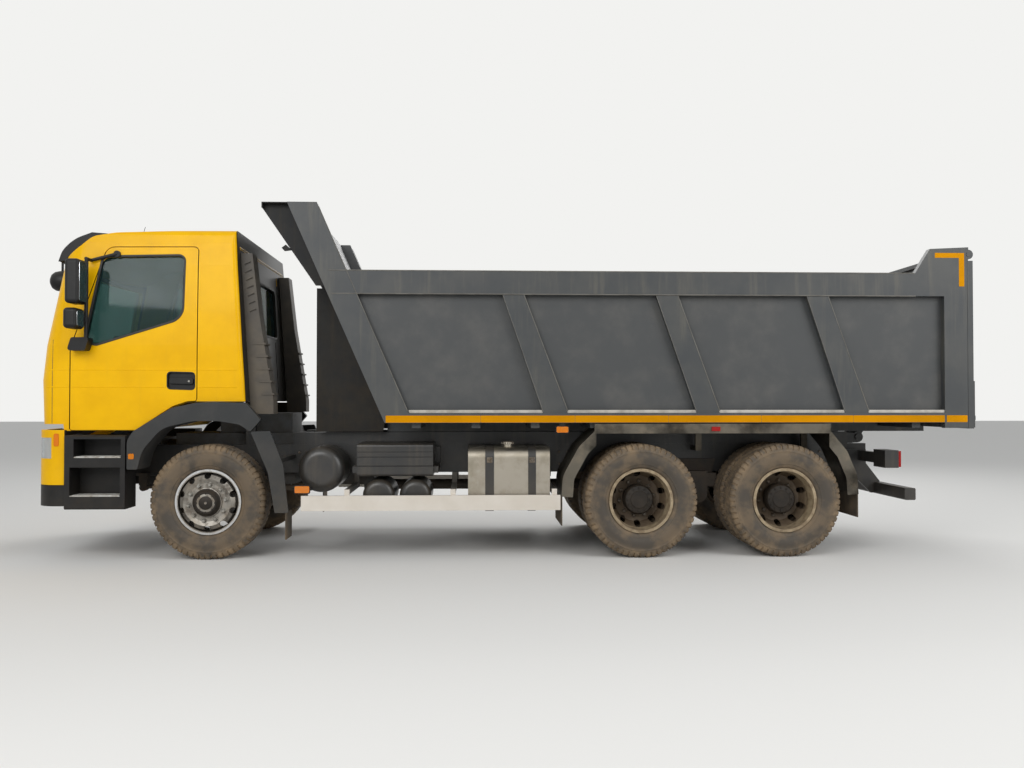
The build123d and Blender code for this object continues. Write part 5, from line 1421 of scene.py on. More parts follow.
@dataclass(frozen=True)
class WheelTrim(Trim):
    """Nuts, hub covers and rim bands of the wheels.

    Sections are given by radius and by distance out from a plane towards the open side:
    the wheel disc's plane in front, the plane between the twin wheels behind.
    """

    nut_count: int = 10
    nut_circle: float = 167.5
    nut_flats: float = 32.0
    nut_height: float = 22.0
    nut_start: float = 0.15
    flange: Pairs = ((CORE, 0.0), (24.01, 0.0), (21.01, 5.0), (CORE, 5.0))
    stud: Pairs = ((CORE, 4.0), (11.0, 4.0), (11.0, 27.0), (9.0, 30.0), (CORE, 30.0))
    front_tyre_y: float = 1027.0
    front_disc_y: float = 1182.0
    front_cap: Pairs = (
        (CORE, 54.0), (96.5, 53.0), (119.0, 21.0), (131.0, 15.0), (136.5, 6.0),
        (136.5, 3.0), (120.0, 3.0), (95.0, 49.0), (CORE, 50.0),
    )
    front_badge: Pairs = (
        (CORE, 52.0), (62.0, 52.0), (62.0, 57.0), (58.0, 59.0), (CORE, 59.0)
    )
    front_lip: Pairs = (
        (280.5, 99.0), (283.0, 127.4), (299.6, 127.4), (301.0, 126.0),
        (299.6, 128.6), (281.0, 128.6), (279.0, 99.0),
    )
    twins_y: tuple[float, float] = (1087.5, 737.5)
    rear_cap: Pairs = (
        (CORE, 193.0), (78.0, 193.0), (84.0, 187.5), (126.0, 180.0), (141.0, 156.0),
        (141.0, 60.0), (128.2, 60.0), (128.2, 150.0), (112.3, 178.5), (CORE, 187.0),
    )
    rear_nut_seat: float = 14.0

    def nuts(self, x: float, plane: float, out: int) -> Shape:
        """Ring of wheel nuts with flanges and the stud ends that stand out of them.

        Args:
            x: Place of the axle.
            plane: Distance of the face that the nuts clamp from the truck's middle.
            out: Sign of the open side on the Y axis.

        Returns:
            The nuts.
        """
        middle = bolt_circle(self.nut_count, self.nut_circle, x, out * plane, self.nut_start)
        shape = Shape()
        for place in middle:
            shape.turned(outwards(self.flange, plane, out), (place[0], place[2]), 16)
            shape.turned(outwards(self.stud, plane, out), (place[0], place[2]), 12)
        lift = np.array([0.0, out * 4.0, 0.0])
        return shape.hex_heads(middle + lift, (0.0, out, 0.0), self.nut_flats, self.nut_height)

    def front(self, side: Side) -> None:
        """Dress a front wheel: dark hub cap with its own bolts, nuts and a bright rim band.

        Args:
            side: Side of the truck.
        """
        out, word, plane = side.value, side.word, self.front_disc_y
        body = f"front_wheel_{word}_body"
        axle = (0.0, AXLE_Z)
        hub = Shape().turned(outwards(self.front_cap, plane, out), axle, 56)
        hub.turned(outwards(self.front_badge, plane, out), axle, 40)
        hub.hex_heads(bolt_circle(8, 84.0, 0.0, out * (plane + 53.0)), (0.0, out, 0.0), 13.0, 6.0)
        self.shop.piece(f"hub_cap_{word}", hub, HUB_IRON, body, "axle_iron", smooth_deg=28.0)
        nuts = self.nuts(0.0, plane, out)
        self.shop.piece(f"front_wheel_nuts_{word}", nuts, NUT_STEEL, body, "rim_silver", smooth_deg=25.0)
        lip = Shape().turned(outwards(self.front_lip, self.front_tyre_y, out), axle, 96)
        name = f"front_rim_lip_{word}"
        self.shop.piece(name, lip, RIM_SILVER_BRIGHT, body, "rim_silver", smooth_deg=40.0)

    def rear(self, side: Side, number: int, x: float) -> None:
        """Dress a pair of twin rear wheels: axle-shaft flange, its bolts and the nuts.

        Args:
            side: Side of the truck.
            number: Axle, counted from the front one of the two.
            x: Place of the axle.
        """
        out, plane = side.value, sum(self.twins_y) / 2.0
        place = f"{number}_{side.word}"
        body = f"rear_wheels_{place}_body"
        hub = Shape().turned(outwards(self.rear_cap, plane, out), (x, AXLE_Z), 56)
        hub.hex_heads(bolt_circle(12, 106.0, x, out * (plane + 181.0)), (0.0, out, 0.0), 19.0, 11.0)
        self.shop.piece(f"rear_hub_{place}", hub, HUB_IRON, body, "axle_iron", smooth_deg=28.0)
        nuts = self.nuts(x, plane + self.rear_nut_seat, out)
        self.shop.piece(f"rear_wheel_nuts_{place}", nuts, NUT_DULL, body, "axle_iron", smooth_deg=25.0)

    def build(self, rear_axles: Sequence[float] = (3983.0, 5333.0)) -> None:
        """Put tyres, nuts and hubs on all six wheel bodies.

        Args:
            rear_axles: X of both rear axles.
        """
        tyre = RoadTyre(self.shop)
        for side in Side:
            out, word = side.value, side.word
            middle = [(0.0, out * self.front_tyre_y)]
            tyre.fit(f"road_tyre_{word}", f"front_wheel_{word}_body", f"front_tyre_{word}", middle)
            self.front(side)
            for number, x in enumerate(rear_axles, 1):
                name = f"{number}_{word}"
                body = f"rear_wheels_{name}_body"
                middles = [(x, out * y) for y in self.twins_y]
                tyre.fit(f"road_tyres_{name}", body, f"rear_tyres_{name}", middles)
                self.rear(side, number, x)


# Cab


# Sections of a rubber seal and of a pressed crease, from the surface outwards.
SEAL_CORNERS = ((-11.0, -1.0, 0.5), (11.0, -1.0, 0.5), (9.0, 5.0, 3.0), (-9.0, 5.0, 3.0))
BEAD_CORNERS = ((-9.0, -1.5, 0.3), (9.0, -1.5, 0.3), (3.0, 2.4, 2.0), (-3.0, 2.4, 2.0))
SEAL_SECTION = rounded_outline(SEAL_CORNERS, 4)
BEAD_SECTION = rounded_outline(BEAD_CORNERS, 4)
# Flat line of sealant in a seam.
LINE_SECTION = np.array([(-2.5, -1.0), (2.5, -1.0), (2.5, 0.5), (-2.5, 0.5)])


@dataclass(frozen=True)
class CabTrim(Trim):
    """Seals, seams, handles, wipers, aerial and mirror glass of the cab and its doors."""

    window: Corners = (
        (-1112.0, 1991.0, 40.0),
        (-958.0, 2768.0, 60.0),
        (-232.0, 2784.0, 50.0),
        (-245.0, 2215.0, 140.0),
        (-1010.0, 1972.0, 60.0),
    )
    windscreen: Corners = (
        (-985.0, 1995.0, 70.0), (985.0, 1995.0, 70.0), (940.0, 2668.0, 70.0), (-940.0, 2668.0, 70.0)
    )
    rear_window: Corners = (
        (-480.0, 2130.0, 70.0), (480.0, 2130.0, 70.0), (480.0, 2640.0, 70.0), (-480.0, 2640.0, 70.0)
    )
    recess: Corners = (
        (-371.0, 1561.0, 33.0), (-121.0, 1553.0, 33.0), (-121.0, 1711.0, 33.0), (-371.0, 1717.0, 33.0)
    )
    recess_floor_y: tuple[float, float] = (-1142.4, -1144.0)
    door_face_y: float = -1170.0
    lip: Corners = ((-3.0, -24.0, 0.5), (0.5, -24.0, 0.5), (6.0, 1.8, 0.5), (-3.0, 1.8, 0.5))
    grip: Corners = (
        (-356.0, 1608.0, 20.0), (-136.0, 1602.0, 20.0), (-136.0, 1660.0, 20.0), (-356.0, 1664.0, 20.0)
    )
    keyhole: Pairs = (
        (CORE, -1169.5), (9.0, -1169.5), (9.0, -1168.0), (CORE, -1168.0)
    )
    keyhole_centre: tuple[float, float] = (-176.0, 1632.0)
    crease_heights: tuple[float, ...] = (1579.0, 1734.0)
    crease_ends: tuple[float, ...] = (-384.0, -116.0)
    rib_places: Pairs = (
        (-880.0, 2800.0), (-620.0, 2800.0), (-360.0, 2080.0),
        (360.0, 2080.0), (620.0, 2800.0), (880.0, 2800.0),
    )
    mirrors: tuple[tuple[float, ...], ...] = (
        (-1043.0, -1312.0, -1478.0, 2335.0, 2687.0),
        (-1065.0, -1312.0, -1468.0, 2114.0, 2254.0),
    )
    wiper_pivots_y: tuple[float, ...] = (-640.0, 60.0)
    wiper_arm: Pairs = (
        (0.0, 1962.0), (20.0, 1985.0), (120.0, 2040.0), (330.0, 2066.0)
    )
    wiper_blade: tuple[float, float, float] = (20.0, 640.0, 2062.0)
    wiper_knob: Pairs = (
        (CORE, 2.0), (24.0, 2.0), (20.0, -20.0), (10.0, -27.0), (CORE, -27.0)
    )
    blade_section: Pairs = ((-2.5, -9.0), (2.5, -9.0), (2.5, 6.0), (-2.5, 6.0))
    visor_edge: Pairs = (
        (-1100.0, 3012.0), (-1247.0, 2950.0), (-1357.0, 2850.0), (-1404.0, 2738.0)
    )
    visor_half: float = 1052.0
    visor_struts_y: tuple[float, ...] = (-640.0, 0.0, 640.0)
    kerb_mirror_middle: tuple[float, float, float] = (-1512.0, -760.0, 2592.0)
    kerb_mirror_dome: Pairs = (
        (CORE, -86.0), (40.0, -81.0), (72.0, -62.0), (90.0, -34.0), (97.5, 4.0), (97.5, 52.0),
        (92.0, 68.0), (86.0, 70.0), (84.0, 58.0), (CORE, 58.0),
    )
    kerb_mirror_disc: Pairs = (
        (CORE, 58.5), (83.0, 58.5), (83.0, 60.5), (CORE, 60.5)
    )
    aerial_place: tuple[float, float, float] = (-790.0, -700.0, 0.0)
    aerial_foot: Pairs = (
        (CORE, -1.0), (30.0, -1.0), (26.0, 14.0), (12.0, 30.0), (CORE, 30.0)
    )
    aerial_mast: tuple[float, float, float] = (55.0, 0.0, 180.0)

    def seal(self, skin: Skin, corners: Corners, facing: Facing) -> Shape:
        """Rubber seal round an opening, laid on the surface.

        Args:
            skin: Surface that it lies on.
            corners: Corners of the opening.
            facing: Face of the truck that it lies on.

        Returns:
            The seal.
        """
        outline = widened(resampled(rounded_outline(corners, 10), 30.0), 9.0)
        path = skin.project(outline, facing)
        return Shape().swept(path, SEAL_SECTION, True, -facing.ray).outward()

    def bead(
        self, skin: Skin, start: Point, end: Point, facing: Facing, section: np.ndarray = BEAD_SECTION
    ) -> Shape:
        """Straight strip laid on the surface between two points.

        Args:
            skin: Surface that it lies on.
            start: First end in the two measures of that face.
            end: Other end.
            facing: Face of the truck that it lies on.
            section: Profile of the strip.

        Returns:
            The strip.
        """
        count = max(3, int(math.dist(start, end) / 30.0))
        path = skin.project(straight(start, end, count), facing)
        return Shape().swept(path, section, False, -facing.ray).outward()

    def doors(self) -> None:
        """Dress both doors: window seal, creases, handle cup and handle, lock, mirror glass."""
        skin = Skin("door_left")
        body = "door_{}_body"
        seal = self.seal(skin, self.window, Facing.SIDE)
        creases = Shape()
        for height, end in zip(self.crease_heights, self.crease_ends):
            creases.merge(self.bead(skin, (-1226.0, height), (end, height), Facing.SIDE))
        cup = Shape().plate(rounded_outline(self.recess), *self.recess_floor_y).outward()
        rim = Facing.SIDE.upright(widened(resampled(rounded_outline(self.recess), 20.0), 1.5))
        rim[:, 1] = self.door_face_y
        cup.merge(Shape().swept(rim, rounded_outline(self.lip, 3), True, (0.0, -1.0, 0.0)).outward())
        handle = Shape().plate(rounded_outline(self.grip), -1148.5, -1168.5).outward()
        lock = Shape().turned(self.keyhole, self.keyhole_centre, 20).outward()
        glass = Shape()
        for x, *box in self.mirrors:
            face = rounded_box(*box, 24.0)
            glass.merge(Shape().plate(face, 0.0, 2.0).placed((1, 0, 2), (x, 0.0, 0.0)))
        self.shop.pair("window_seal", seal, SEAL_RUBBER, body, "flap_rubber")
        self.shop.pair("door_creases", creases, CAB_PAINT, body, "cab_yellow")
        self.shop.pair("handle_cup", cup, BLACK_PLASTIC, body, "bumper_black")
        self.shop.pair("door_handle", handle, BLACK_PLASTIC, body, "bumper_black", Edge.ROUNDED)
        self.shop.pair("door_lock", lock, NUT_STEEL, body, "galvanised")
        self.shop.pair("mirror_glass", glass, MIRROR_GLASS, body, "galvanised")

    def shell(self) -> None:
        """Dress the cab's shell: glass seals, corner seams, creases and rear ribs."""
        skin = Skin("cab_shell")
        for name, corners, facing in (
            ("windscreen_seal", self.windscreen, Facing.FRONT),
            ("rear_window_seal", self.rear_window, Facing.REAR),
        ):
            self.shop.piece(name, self.seal(skin, corners, facing), SEAL_RUBBER, "cab", "flap_rubber")
        seam = self.bead(skin, (-1402.0, 1246.0), (-1402.0, 2010.0), Facing.SIDE, LINE_SECTION)
        creases = Shape()
        for height in self.crease_heights:
            for start, end in ((-1470.0, -1254.0), (-92.0, 255.0)):
                near = self.bead(skin, (start, height), (end, height), Facing.SIDE)
                creases.merge(near, near.twin())
        for y, top in self.rib_places:
            creases.merge(self.bead(skin, (y, 1520.0), (y, top), Facing.REAR, BEAD_SECTION * 2.2))
        creases.merge(self.bead(skin, (-1000.0, 2880.0), (1000.0, 2880.0), Facing.REAR, BEAD_SECTION * 2.0))
        seams = Shape().merge(seam, seam.twin())
        self.shop.piece("corner_seams", seams, SEAL_RUBBER, "cab", "flap_rubber")
        self.shop.piece("cab_creases", creases, CAB_PAINT, "cab", "cab_yellow")
        self.wipers()
        self.aerial(skin)
        self.visor(skin)
        self.kerb_mirror()

    def visor(self, skin: Skin) -> None:
        """Side cheeks that close the sun visor against the cab, and the struts behind its blade.

        A strut starts on the blade's curve, whose place is the square of the strut's
        place across over 13400.

        Args:
            skin: Surface of the cab's shell.
        """
        edge = smooth_curve(self.visor_edge)
        y = -self.visor_half
        low, high = self.visor_edge[-1][1] + 7.0, self.visor_edge[0][1] - 14.0
        foot = skin.project(straight((0.0, y, low), (0.0, y, high), 16), Facing.FRONT, 1.0)
        cheek = Shape().plate(np.concatenate([edge, foot[:, [0, 2]]]), y, y - 12.0).outward()
        shape = Shape().merge(cheek, cheek.twin())
        for place in self.visor_struts_y:
            start = np.array([-1378.0 + place**2 / 13400.0, place, 2886.0])
            shape.tube(np.array([start, start + [30.0, 0.0, -22.0], start + [95.0, 0.0, -70.0]]), 9.0, 10)
        self.shop.piece("visor_cheeks", shape, BLACK_PLASTIC, "cab", "bumper_black", Edge.ROUNDED)

    def kerb_mirror(self) -> None:
        """Domed shell of the kerb mirror and its glass, which faces the rear."""
        for label, profile, finish, slot in (
            ("kerb_mirror_shell", self.kerb_mirror_dome, BLACK_PLASTIC, "bumper_black"),
            ("kerb_mirror_glass", self.kerb_mirror_disc, MIRROR_GLASS, "galvanised"),
        ):
            shape = Shape().turned(profile, (0.0, 0.0), 40).placed((1, 0, 2), self.kerb_mirror_middle)
            self.shop.piece(label, shape, finish, "cab", slot, smooth_deg=40.0)

    def wipers(self) -> None:
        """Two wipers parked along the foot of the windscreen.

        An arm stands 16 mm off the glass at its ends and swells by a half wave of 10 mm
        between them.
        """
        glass = Skin("cab_shell", "cab_glass")
        arms, rubber = Shape(), Shape()
        start, end, level = self.wiper_blade
        for pivot in self.wiper_pivots_y:
            path = smooth_curve([(pivot + y, z) for y, z in self.wiper_arm], 6)
            arm = glass.project(path, Facing.FRONT, 16.0)
            arm[:, 0] -= np.sin(np.linspace(0.0, math.pi, len(arm))) * 10.0
            arms.tube(arm, 6.0)
            foot = glass.project(np.array([[0.0, pivot, self.wiper_arm[0][1]]]), Facing.FRONT)[0]
            arms.merge(Shape().turned(self.wiper_knob, (0.0, 0.0), 20).placed((1, 0, 2), foot))
            blade = straight((0.0, pivot + start, level), (0.0, pivot + end, level), 24)
            arms.tube(glass.project(blade, Facing.FRONT, 13.0), 5.0)
            lip = glass.project(blade, Facing.FRONT, 10.5)
            rubber.merge(Shape().swept(lip, np.array(self.blade_section), False, Facing.REAR.ray).outward())
        self.shop.piece("wiper_arms", arms, BLACK_PLASTIC, "cab", "bumper_black")
        self.shop.piece("wiper_blades", rubber, SEAL_RUBBER, "cab", "flap_rubber")

    def aerial(self, skin: Skin) -> None:
        """Short radio aerial on the roof: rubber foot and thin mast.

        Args:
            skin: Surface of the cab.
        """
        foot = skin.project(np.array([self.aerial_place]), Facing.TOP)[0]
        shape = Shape().turned(self.aerial_foot, (0.0, 0.0), 24).placed((0, 2, 1), foot)
        mast = np.array(self.aerial_mast)
        shape.tube(straight(foot + mast * 0.1, foot + mast, 6), 2.6)
        self.shop.piece("roof_aerial", shape, BLACK_PLASTIC, "cab", "bumper_black")


@dataclass(frozen=True)
class Seat(Trim):
    """Sprung truck seat: cushion, back and head rest with crowned cloth panels and piping."""

    y: float
    width: float = 490.0
    cushion_length: float = 500.0
    floor_z: float = 1507.3
    lean_deg: float = 9.0
    squareness: float = 4.0
    pole_gap: float = 0.03
    bellows: tuple[float, ...] = (20.0, 44.0, 68.0, 92.0)

    def pad(self, x: float, rise: float, size: Point, lean_deg: float) -> Shape:
        """Stuffed pad: a rounded block whose broad faces bulge and sink at two seams.

        Directions on a ball are pushed out to the surface |x|^p + |y|^p + |z|^p = 1 of
        the given size. The thickness then grows towards the middle by a twelfth and
        falls in two grooves across the width.

        Args:
            x: Middle of the pad along the truck.
            rise: Its height over the floor.
            size: Full size in X, Y and Z.
            lean_deg: Angle about the cross axis.

        Returns:
            The pad.
        """
        rows, columns = 40, 64
        polar = np.linspace(self.pole_gap, math.pi - self.pole_gap, rows)[:, None]
        azimuth = np.linspace(0.0, FULL_TURN, columns, endpoint=False)[None, :]
        ball = np.stack(
            [
                np.sin(polar) * np.cos(azimuth),
                np.sin(polar) * np.sin(azimuth),
                np.broadcast_to(np.cos(polar), (rows, columns)),
            ],
            axis=-1,
        )
        power = self.squareness
        local = ball * np.sum(np.abs(ball) ** power, axis=-1, keepdims=True) ** (-1.0 / power)
        thin = int(np.argmin(size))
        broad = [k for k in range(3) if k != thin]
        crown = 1.0 - 0.5 * np.sum(local[..., broad] ** 2, axis=-1)
        seam = np.exp(-(((np.abs(local[..., 1]) - 0.62) / 0.035) ** 2))
        local[..., thin] *= 0.92 + 0.08 * crown - 0.1 * seam
        along, across, up = np.moveaxis(local * np.asarray(size) / 2.0, -1, 0)
        sine, cosine = math.sin(math.radians(lean_deg)), math.cos(math.radians(lean_deg))
        leaning = [along * cosine + up * sine, across, up * cosine - along * sine]
        points = np.stack(leaning, axis=-1) + np.array([x, self.y, self.floor_z + rise])
        faces = grid_faces(rows, columns).tolist()
        faces += [list(range(columns))[::-1], [(rows - 1) * columns + k for k in range(columns)]]
        return Shape().add(points.reshape(-1, 3), faces).outward()

    def build(self, name: str, replaces: Sequence[str]) -> None:
        """Make the seat on its plinth.

        Args:
            name: Name of the seat.
            replaces: CAD nodes that it stands for.
        """
        floor, y = self.floor_z, self.y
        soft = self.pad(-575.0, 178.0, (self.cushion_length, self.width, 128.0), 0.0)
        soft.merge(
            self.pad(-270.0, 500.0, (112.0, self.width - 10.0, 660.0), self.lean_deg),
            self.pad(-208.0, 900.0, (84.0, 270.0, 190.0), self.lean_deg),
        )
        shop = self.shop
        cloth = shop.piece(name, soft, SEAT_CLOTH, "cab", "seat_fabric", smooth_deg=60.0, replaces=replaces)
        hard = Shape().box((-640.0, y - 190.0, floor), (-380.0, y + 190.0, floor + 112.0))
        for rise in self.bellows:
            hard.box((-648.0, y - 198.0, floor + rise), (-372.0, y + 198.0, floor + rise + 10.0))
        for post in (y - 60.0, y + 60.0):
            hard.tube(straight((-222.0, post, floor + 800.0), (-208.0, post, floor + 880.0), 4), 6.0)
        self.shop.piece(f"{name}_base", hard, BLACK_PLASTIC, "cab", "dash_plastic", Edge.BROKEN)


# Bed


@dataclass(frozen=True)
class BedTrim(Trim):
    """Stripes, painted highlights on ledge and weld lines, and latches of the bed and its tailgate.

    A rib is given by the X of its front and rear edge at the top, then at the foot.
    """

    face_y: float = -1250.0
    rib_y: float = -1244.0
    rail_low: float = 2435.0
    rail_high: float = 2650.0
    beam_top: float = 1340.0
    ribs: tuple[tuple[float, float, float, float], ...] = (
        (2695.0, 2891.0, 3067.0, 3297.0),
        (4120.0, 4322.0, 4495.0, 4713.0),
        (5538.0, 5740.0, 5894.0, 6122.0),
    )
    stripe: Pairs = ((1624.0, 6842.0), (6860.0, 7060.0))
    stripe_low: float = 1253.0
    stripe_high: float = 1317.0
    stripe_length: float = 870.0
    corner_mark: Pairs = (
        (6758.0, 2797.0), (6988.0, 2797.0), (6988.0, 2528.0),
        (7039.0, 2528.0), (7039.0, 2843.0), (6758.0, 2843.0),
    )
    post_edge: Pairs = ((1823.5, 1362.0), (1009.0, 3234.0))
    ledge_corners: Corners = (
        (1842.0, 1341.0, 1.0), (7060.0, 1341.0, 1.0), (7060.0, 1368.0, 4.0), (1831.0, 1368.0, 4.0)
    )
    latch_cheek: tuple[float, ...] = (7128.0, 7166.0, 1214.0, 1626.0, 12.0)
    latch_bolts_z: tuple[float, ...] = (1240.0, 1420.0, 1600.0)
    latch_hook: Corners = (
        (7084.0, 1270.0, 8.0), (7160.0, 1262.0, 14.0), (7160.0, 1318.0, 14.0), (7112.0, 1322.0, 8.0),
        (7084.0, 1360.0, 8.0),
    )

    def stripes(self) -> Shape:
        """Reflective tape along the bottom beam and the L marks on the rear corners.

        Each run is cut into equal lengths of tape with gaps of 2 mm.

        Returns:
            The tape of the driver's side.
        """
        shape = Shape()
        back, front = self.face_y - 0.2, self.face_y - 0.9
        for start, end in self.stripe:
            count = max(1, round((end - start) / self.stripe_length))
            joints = start + (end - start) / count * np.arange(count + 1)
            for x0, x1 in zip(joints, joints[1:]):
                tape = rounded_box(x0 + 1.0, x1 - 1.0, self.stripe_low, self.stripe_high, 5.0, 4)
                shape.plate(tape, back, front)
        return shape.plate(np.array(self.corner_mark), back, front)

    def lines(self) -> Shape:
        """Weld seams and rolled edges on the ribs, post and rails, in a pale colour that paints the
        highlight where they catch the light.

        Returns:
            The lines of the driver's side.
        """
        shape = Shape()
        y = self.rib_y + 1.0
        low, high = self.beam_top + 18.0, self.rail_low
        for top0, top1, low0, low1 in self.ribs:
            shape.tube(straight((low1, y, low), (top1, y, high), 30), 4.5)
            shape.tube(straight((low0, y, low), (top0, y, high), 30), 3.0)
        foot, top = ((x, self.face_y + 1.5, z) for x, z in self.post_edge)
        shape.tube(straight(foot, top, 50), 4.5)
        y = self.face_y + 2.0
        for x0, x1, z in ((1130.0, 6570.0, self.rail_low), (1100.0, 6562.0, self.rail_high - 2.0)):
            shape.tube(straight((x0, y, z), (x1, y, z), 40), 6.0)
        return shape

    def ledge(self) -> Shape:
        """Upper ledge of the bottom beam: a pale strip, a painted highlight on its lit top face."""
        return Shape().plate(rounded_outline(self.ledge_corners, 4), self.face_y + 10.0, self.face_y + 14.0)

    def latch(self) -> Shape:
        """Tailgate latch on the driver's side: cheek, hook and bolts.

        Returns:
            The latch.
        """
        shape = Shape().plate(rounded_box(*self.latch_cheek, 5), -1181.0, -1189.0)
        bolts = np.array([(7147.0, -1189.0, z) for z in self.latch_bolts_z])
        shape.hex_heads(bolts, (0.0, -1.0, 0.0), 24.0, 14.0)
        return shape.plate(rounded_outline(self.latch_hook, 5), -1196.0, -1210.0)

    def build(self) -> None:
        """Make the pieces for both sides."""
        self.shop.pair("side_stripes", self.stripes(), STRIPE_TAPE, "bed", "flare_grey")
        self.shop.pair("bed_weld_lines", self.lines(), WELD_HIGHLIGHT, "bed", "body_grey")
        self.shop.pair("bed_ledge", self.ledge(), LEDGE_HIGHLIGHT, "bed", "body_grey")
        latch = self.latch()
        self.shop.pair("tailgate_latch", latch, BODY_PAINT, "tailgate_body", "body_grey", Edge.BROKEN)


# Chassis


@dataclass(frozen=True)
class ChassisTrim(Trim):
    """Step treads, tank cap, markers, lamp lenses and rail bolts of the chassis.

    A well is its front and rear X and its floor; a marker is two X and two Z.
    """

    wells: Corners = ((-1212.0, -769.0, 586.3), (-1177.0, -763.0, 936.3))
    cap_centre: tuple[float, float, float] = (2748.0, -1040.0, 0.0)
    cap_top: Pairs = ((CORE, 1065.5), (50.0, 1065.5), (50.0, 1070.0), (46.0, 1073.0), (CORE, 1073.0))
    cap_ribs: int = 16
    cap_rib_circle: float = 56.0
    straps_x: tuple[float, ...] = (2577.5, 2971.0)
    signal: Corners = (
        (-1361.0, 1042.0, 14.0), (-1315.0, 1042.0, 14.0), (-1315.0, 1156.0, 14.0), (-1361.0, 1156.0, 14.0)
    )
    front_marker: tuple[float, ...] = (800.0, 932.0, 612.0, 674.0)
    bed_marker: tuple[float, ...] = (3193.0, 3301.0, 1160.0, 1214.0)
    flare_marker: tuple[float, ...] = (-690.0, -640.0, 925.0, 975.0)
    rail_bolt_rows: Corners = ((700.0, 860.0, 75.0), (3290.0, 3480.0, 85.0), (5950.0, 6190.0, 75.0))
    rail_bolt_heights: tuple[float, ...] = (820.0, 940.0)

    def treads(self) -> Shape:
        """Aluminium step treads with raised grip bars, in both wells of one side.

        Returns:
            The treads.
        """
        shape = Shape()
        for x0, x1, z in self.wells:
            shape.box((x0, -1234.5, z), (x1, -1060.0, z + 10.0))
            corners = ((x0 + 12.0, z + 9.5, 0.5), (x1 - 12.0, z + 9.5, 0.5), (x1 - 16.0, z + 14.0, 1.5),
                       (x0 + 16.0, z + 14.0, 1.5))
            bar = rounded_outline(corners, 3)
            for y in np.arange(-1226.0, -1068.0, 22.0):
                shape.plate(bar, y, y + 8.0)
        return shape

    def tank_cap(self) -> Shape:
        """Raised top of the fuel tank's filler cap and the ribs round it.

        Returns:
            The cap.
        """
        shape = Shape().turned(self.cap_top, (0.0, 0.0), 40).placed((0, 2, 1), self.cap_centre)
        for angle in np.arange(self.cap_ribs) * FULL_TURN / self.cap_ribs:
            x = self.cap_centre[0] + self.cap_rib_circle * math.cos(angle)
            y = self.cap_centre[1] + self.cap_rib_circle * math.sin(angle)
            shape.box((x - 3.5, y - 3.5, 1048.0), (x + 3.5, y + 3.5, 1064.0))
        return shape

    def strap_bolts(self) -> Shape:
        """T bolts that tighten the tank's straps, near the top of each.

        Returns:
            The bolts with the plates under them.
        """
        shape = Shape()
        for x in self.straps_x:
            shape.hex_heads(np.array([[x, -1177.0, 905.0]]), (0.0, -1.0, 0.0), 24.0, 14.0)
            shape.box((x - 26.0, -1181.0, 880.0), (x + 26.0, -1177.2, 930.0))
        return shape

    def marker(self, place: Sequence[float], y: float) -> Shape:
        """Oblong marker lens that stands 9 mm out of its holder.

        Args:
            place: Both X and both Z.
            y: Its foot.

        Returns:
            The lens.
        """
        return Shape().plate(rounded_box(*place, 12.0, 6), y, y - 9.0)

    def holder(self, place: Sequence[float], y: float, foot: tuple[Point, Point]) -> Shape:
        """Dark holder behind a marker lens, 8 mm wider all round, and the foot it stands on.

        Args:
            place: Both X and both Z of the lens.
            y: Foot of the lens.
            foot: Lowest and highest corner of the holder's foot.

        Returns:
            The holder.
        """
        x0, x1, z0, z1 = place
        back = rounded_box(x0 - 8.0, x1 + 8.0, z0 - 8.0, z1 + 8.0, 14.0, 6)
        return Shape().plate(back, y + 6.0, y + 0.2).box(*foot)

    def rail_bolts(self) -> Shape:
        """Rows of bolt heads on the frame's side members, clear of what hangs on them.

        Returns:
            The bolt heads of the driver's side.
        """
        places = [
            (x, -425.0, z)
            for start, end, pitch in self.rail_bolt_rows
            for x in np.arange(start, end, pitch)
            for z in self.rail_bolt_heights
        ]
        return Shape().hex_heads(np.array(places), (0.0, -1.0, 0.0), 24.0, 13.0)

    def build(self) -> None:
        """Make the pieces for both sides."""
        signal = Skin("bumper_corners").patch(self.signal, Facing.SIDE, 6.0, 12.0)
        low, high = self.front_marker, self.bed_marker
        low_holder = self.holder(low, -1228.0, ((880.0, -1226.0, 580.0), (920.0, -1222.5, 606.0)))
        high_holder = self.holder(high, -1236.0, ((3222.0, -1235.5, 1220.0), (3272.0, -1231.0, 1251.0)))
        amber = Shape().box((6488.0, -1098.0, 830.0), (6490.5, -1042.0, 970.0))
        clear = Shape().box((6488.0, -926.0, 830.0), (6490.5, -866.0, 970.0))
        self.shop.pair("step_treads", self.treads(), TREAD_PLATE, "chassis", "guard_aluminium")
        self.shop.pair("turn_signal", signal, AMBER_LENS, "chassis", "lamp_lens")
        self.shop.pair("front_marker", self.marker(low, -1228.0), AMBER_LENS, "chassis", "lamp_lens")
        self.shop.pair("front_marker_holder", low_holder, BLACK_PLASTIC, "chassis", "flap_rubber")
        self.shop.pair("bed_marker", self.marker(high, -1236.0), AMBER_LENS, "bed", "lamp_lens")
        self.shop.pair("bed_marker_holder", high_holder, BLACK_PLASTIC, "bed", "flap_rubber")
        flare = self.marker(self.flare_marker, -1240.2)
        self.shop.pair("flare_marker", flare, AMBER_LENS, "cab", "lamp_lens")
        self.shop.pair("rail_bolts", self.rail_bolts(), NUT_DULL, "chassis", "galvanised")
        self.shop.pair("tail_lens_amber", amber, AMBER_LENS, "chassis", "lamp_lens")
        self.shop.pair("tail_lens_clear", clear, CLEAR_LENS, "chassis", "lamp_lens")
        self.shop.piece("tank_strap_bolts", self.strap_bolts(), NUT_DULL, "chassis", "galvanised")
        self.shop.piece("fuel_cap", self.tank_cap(), NUT_DULL, "chassis", "galvanised", smooth_deg=28.0)
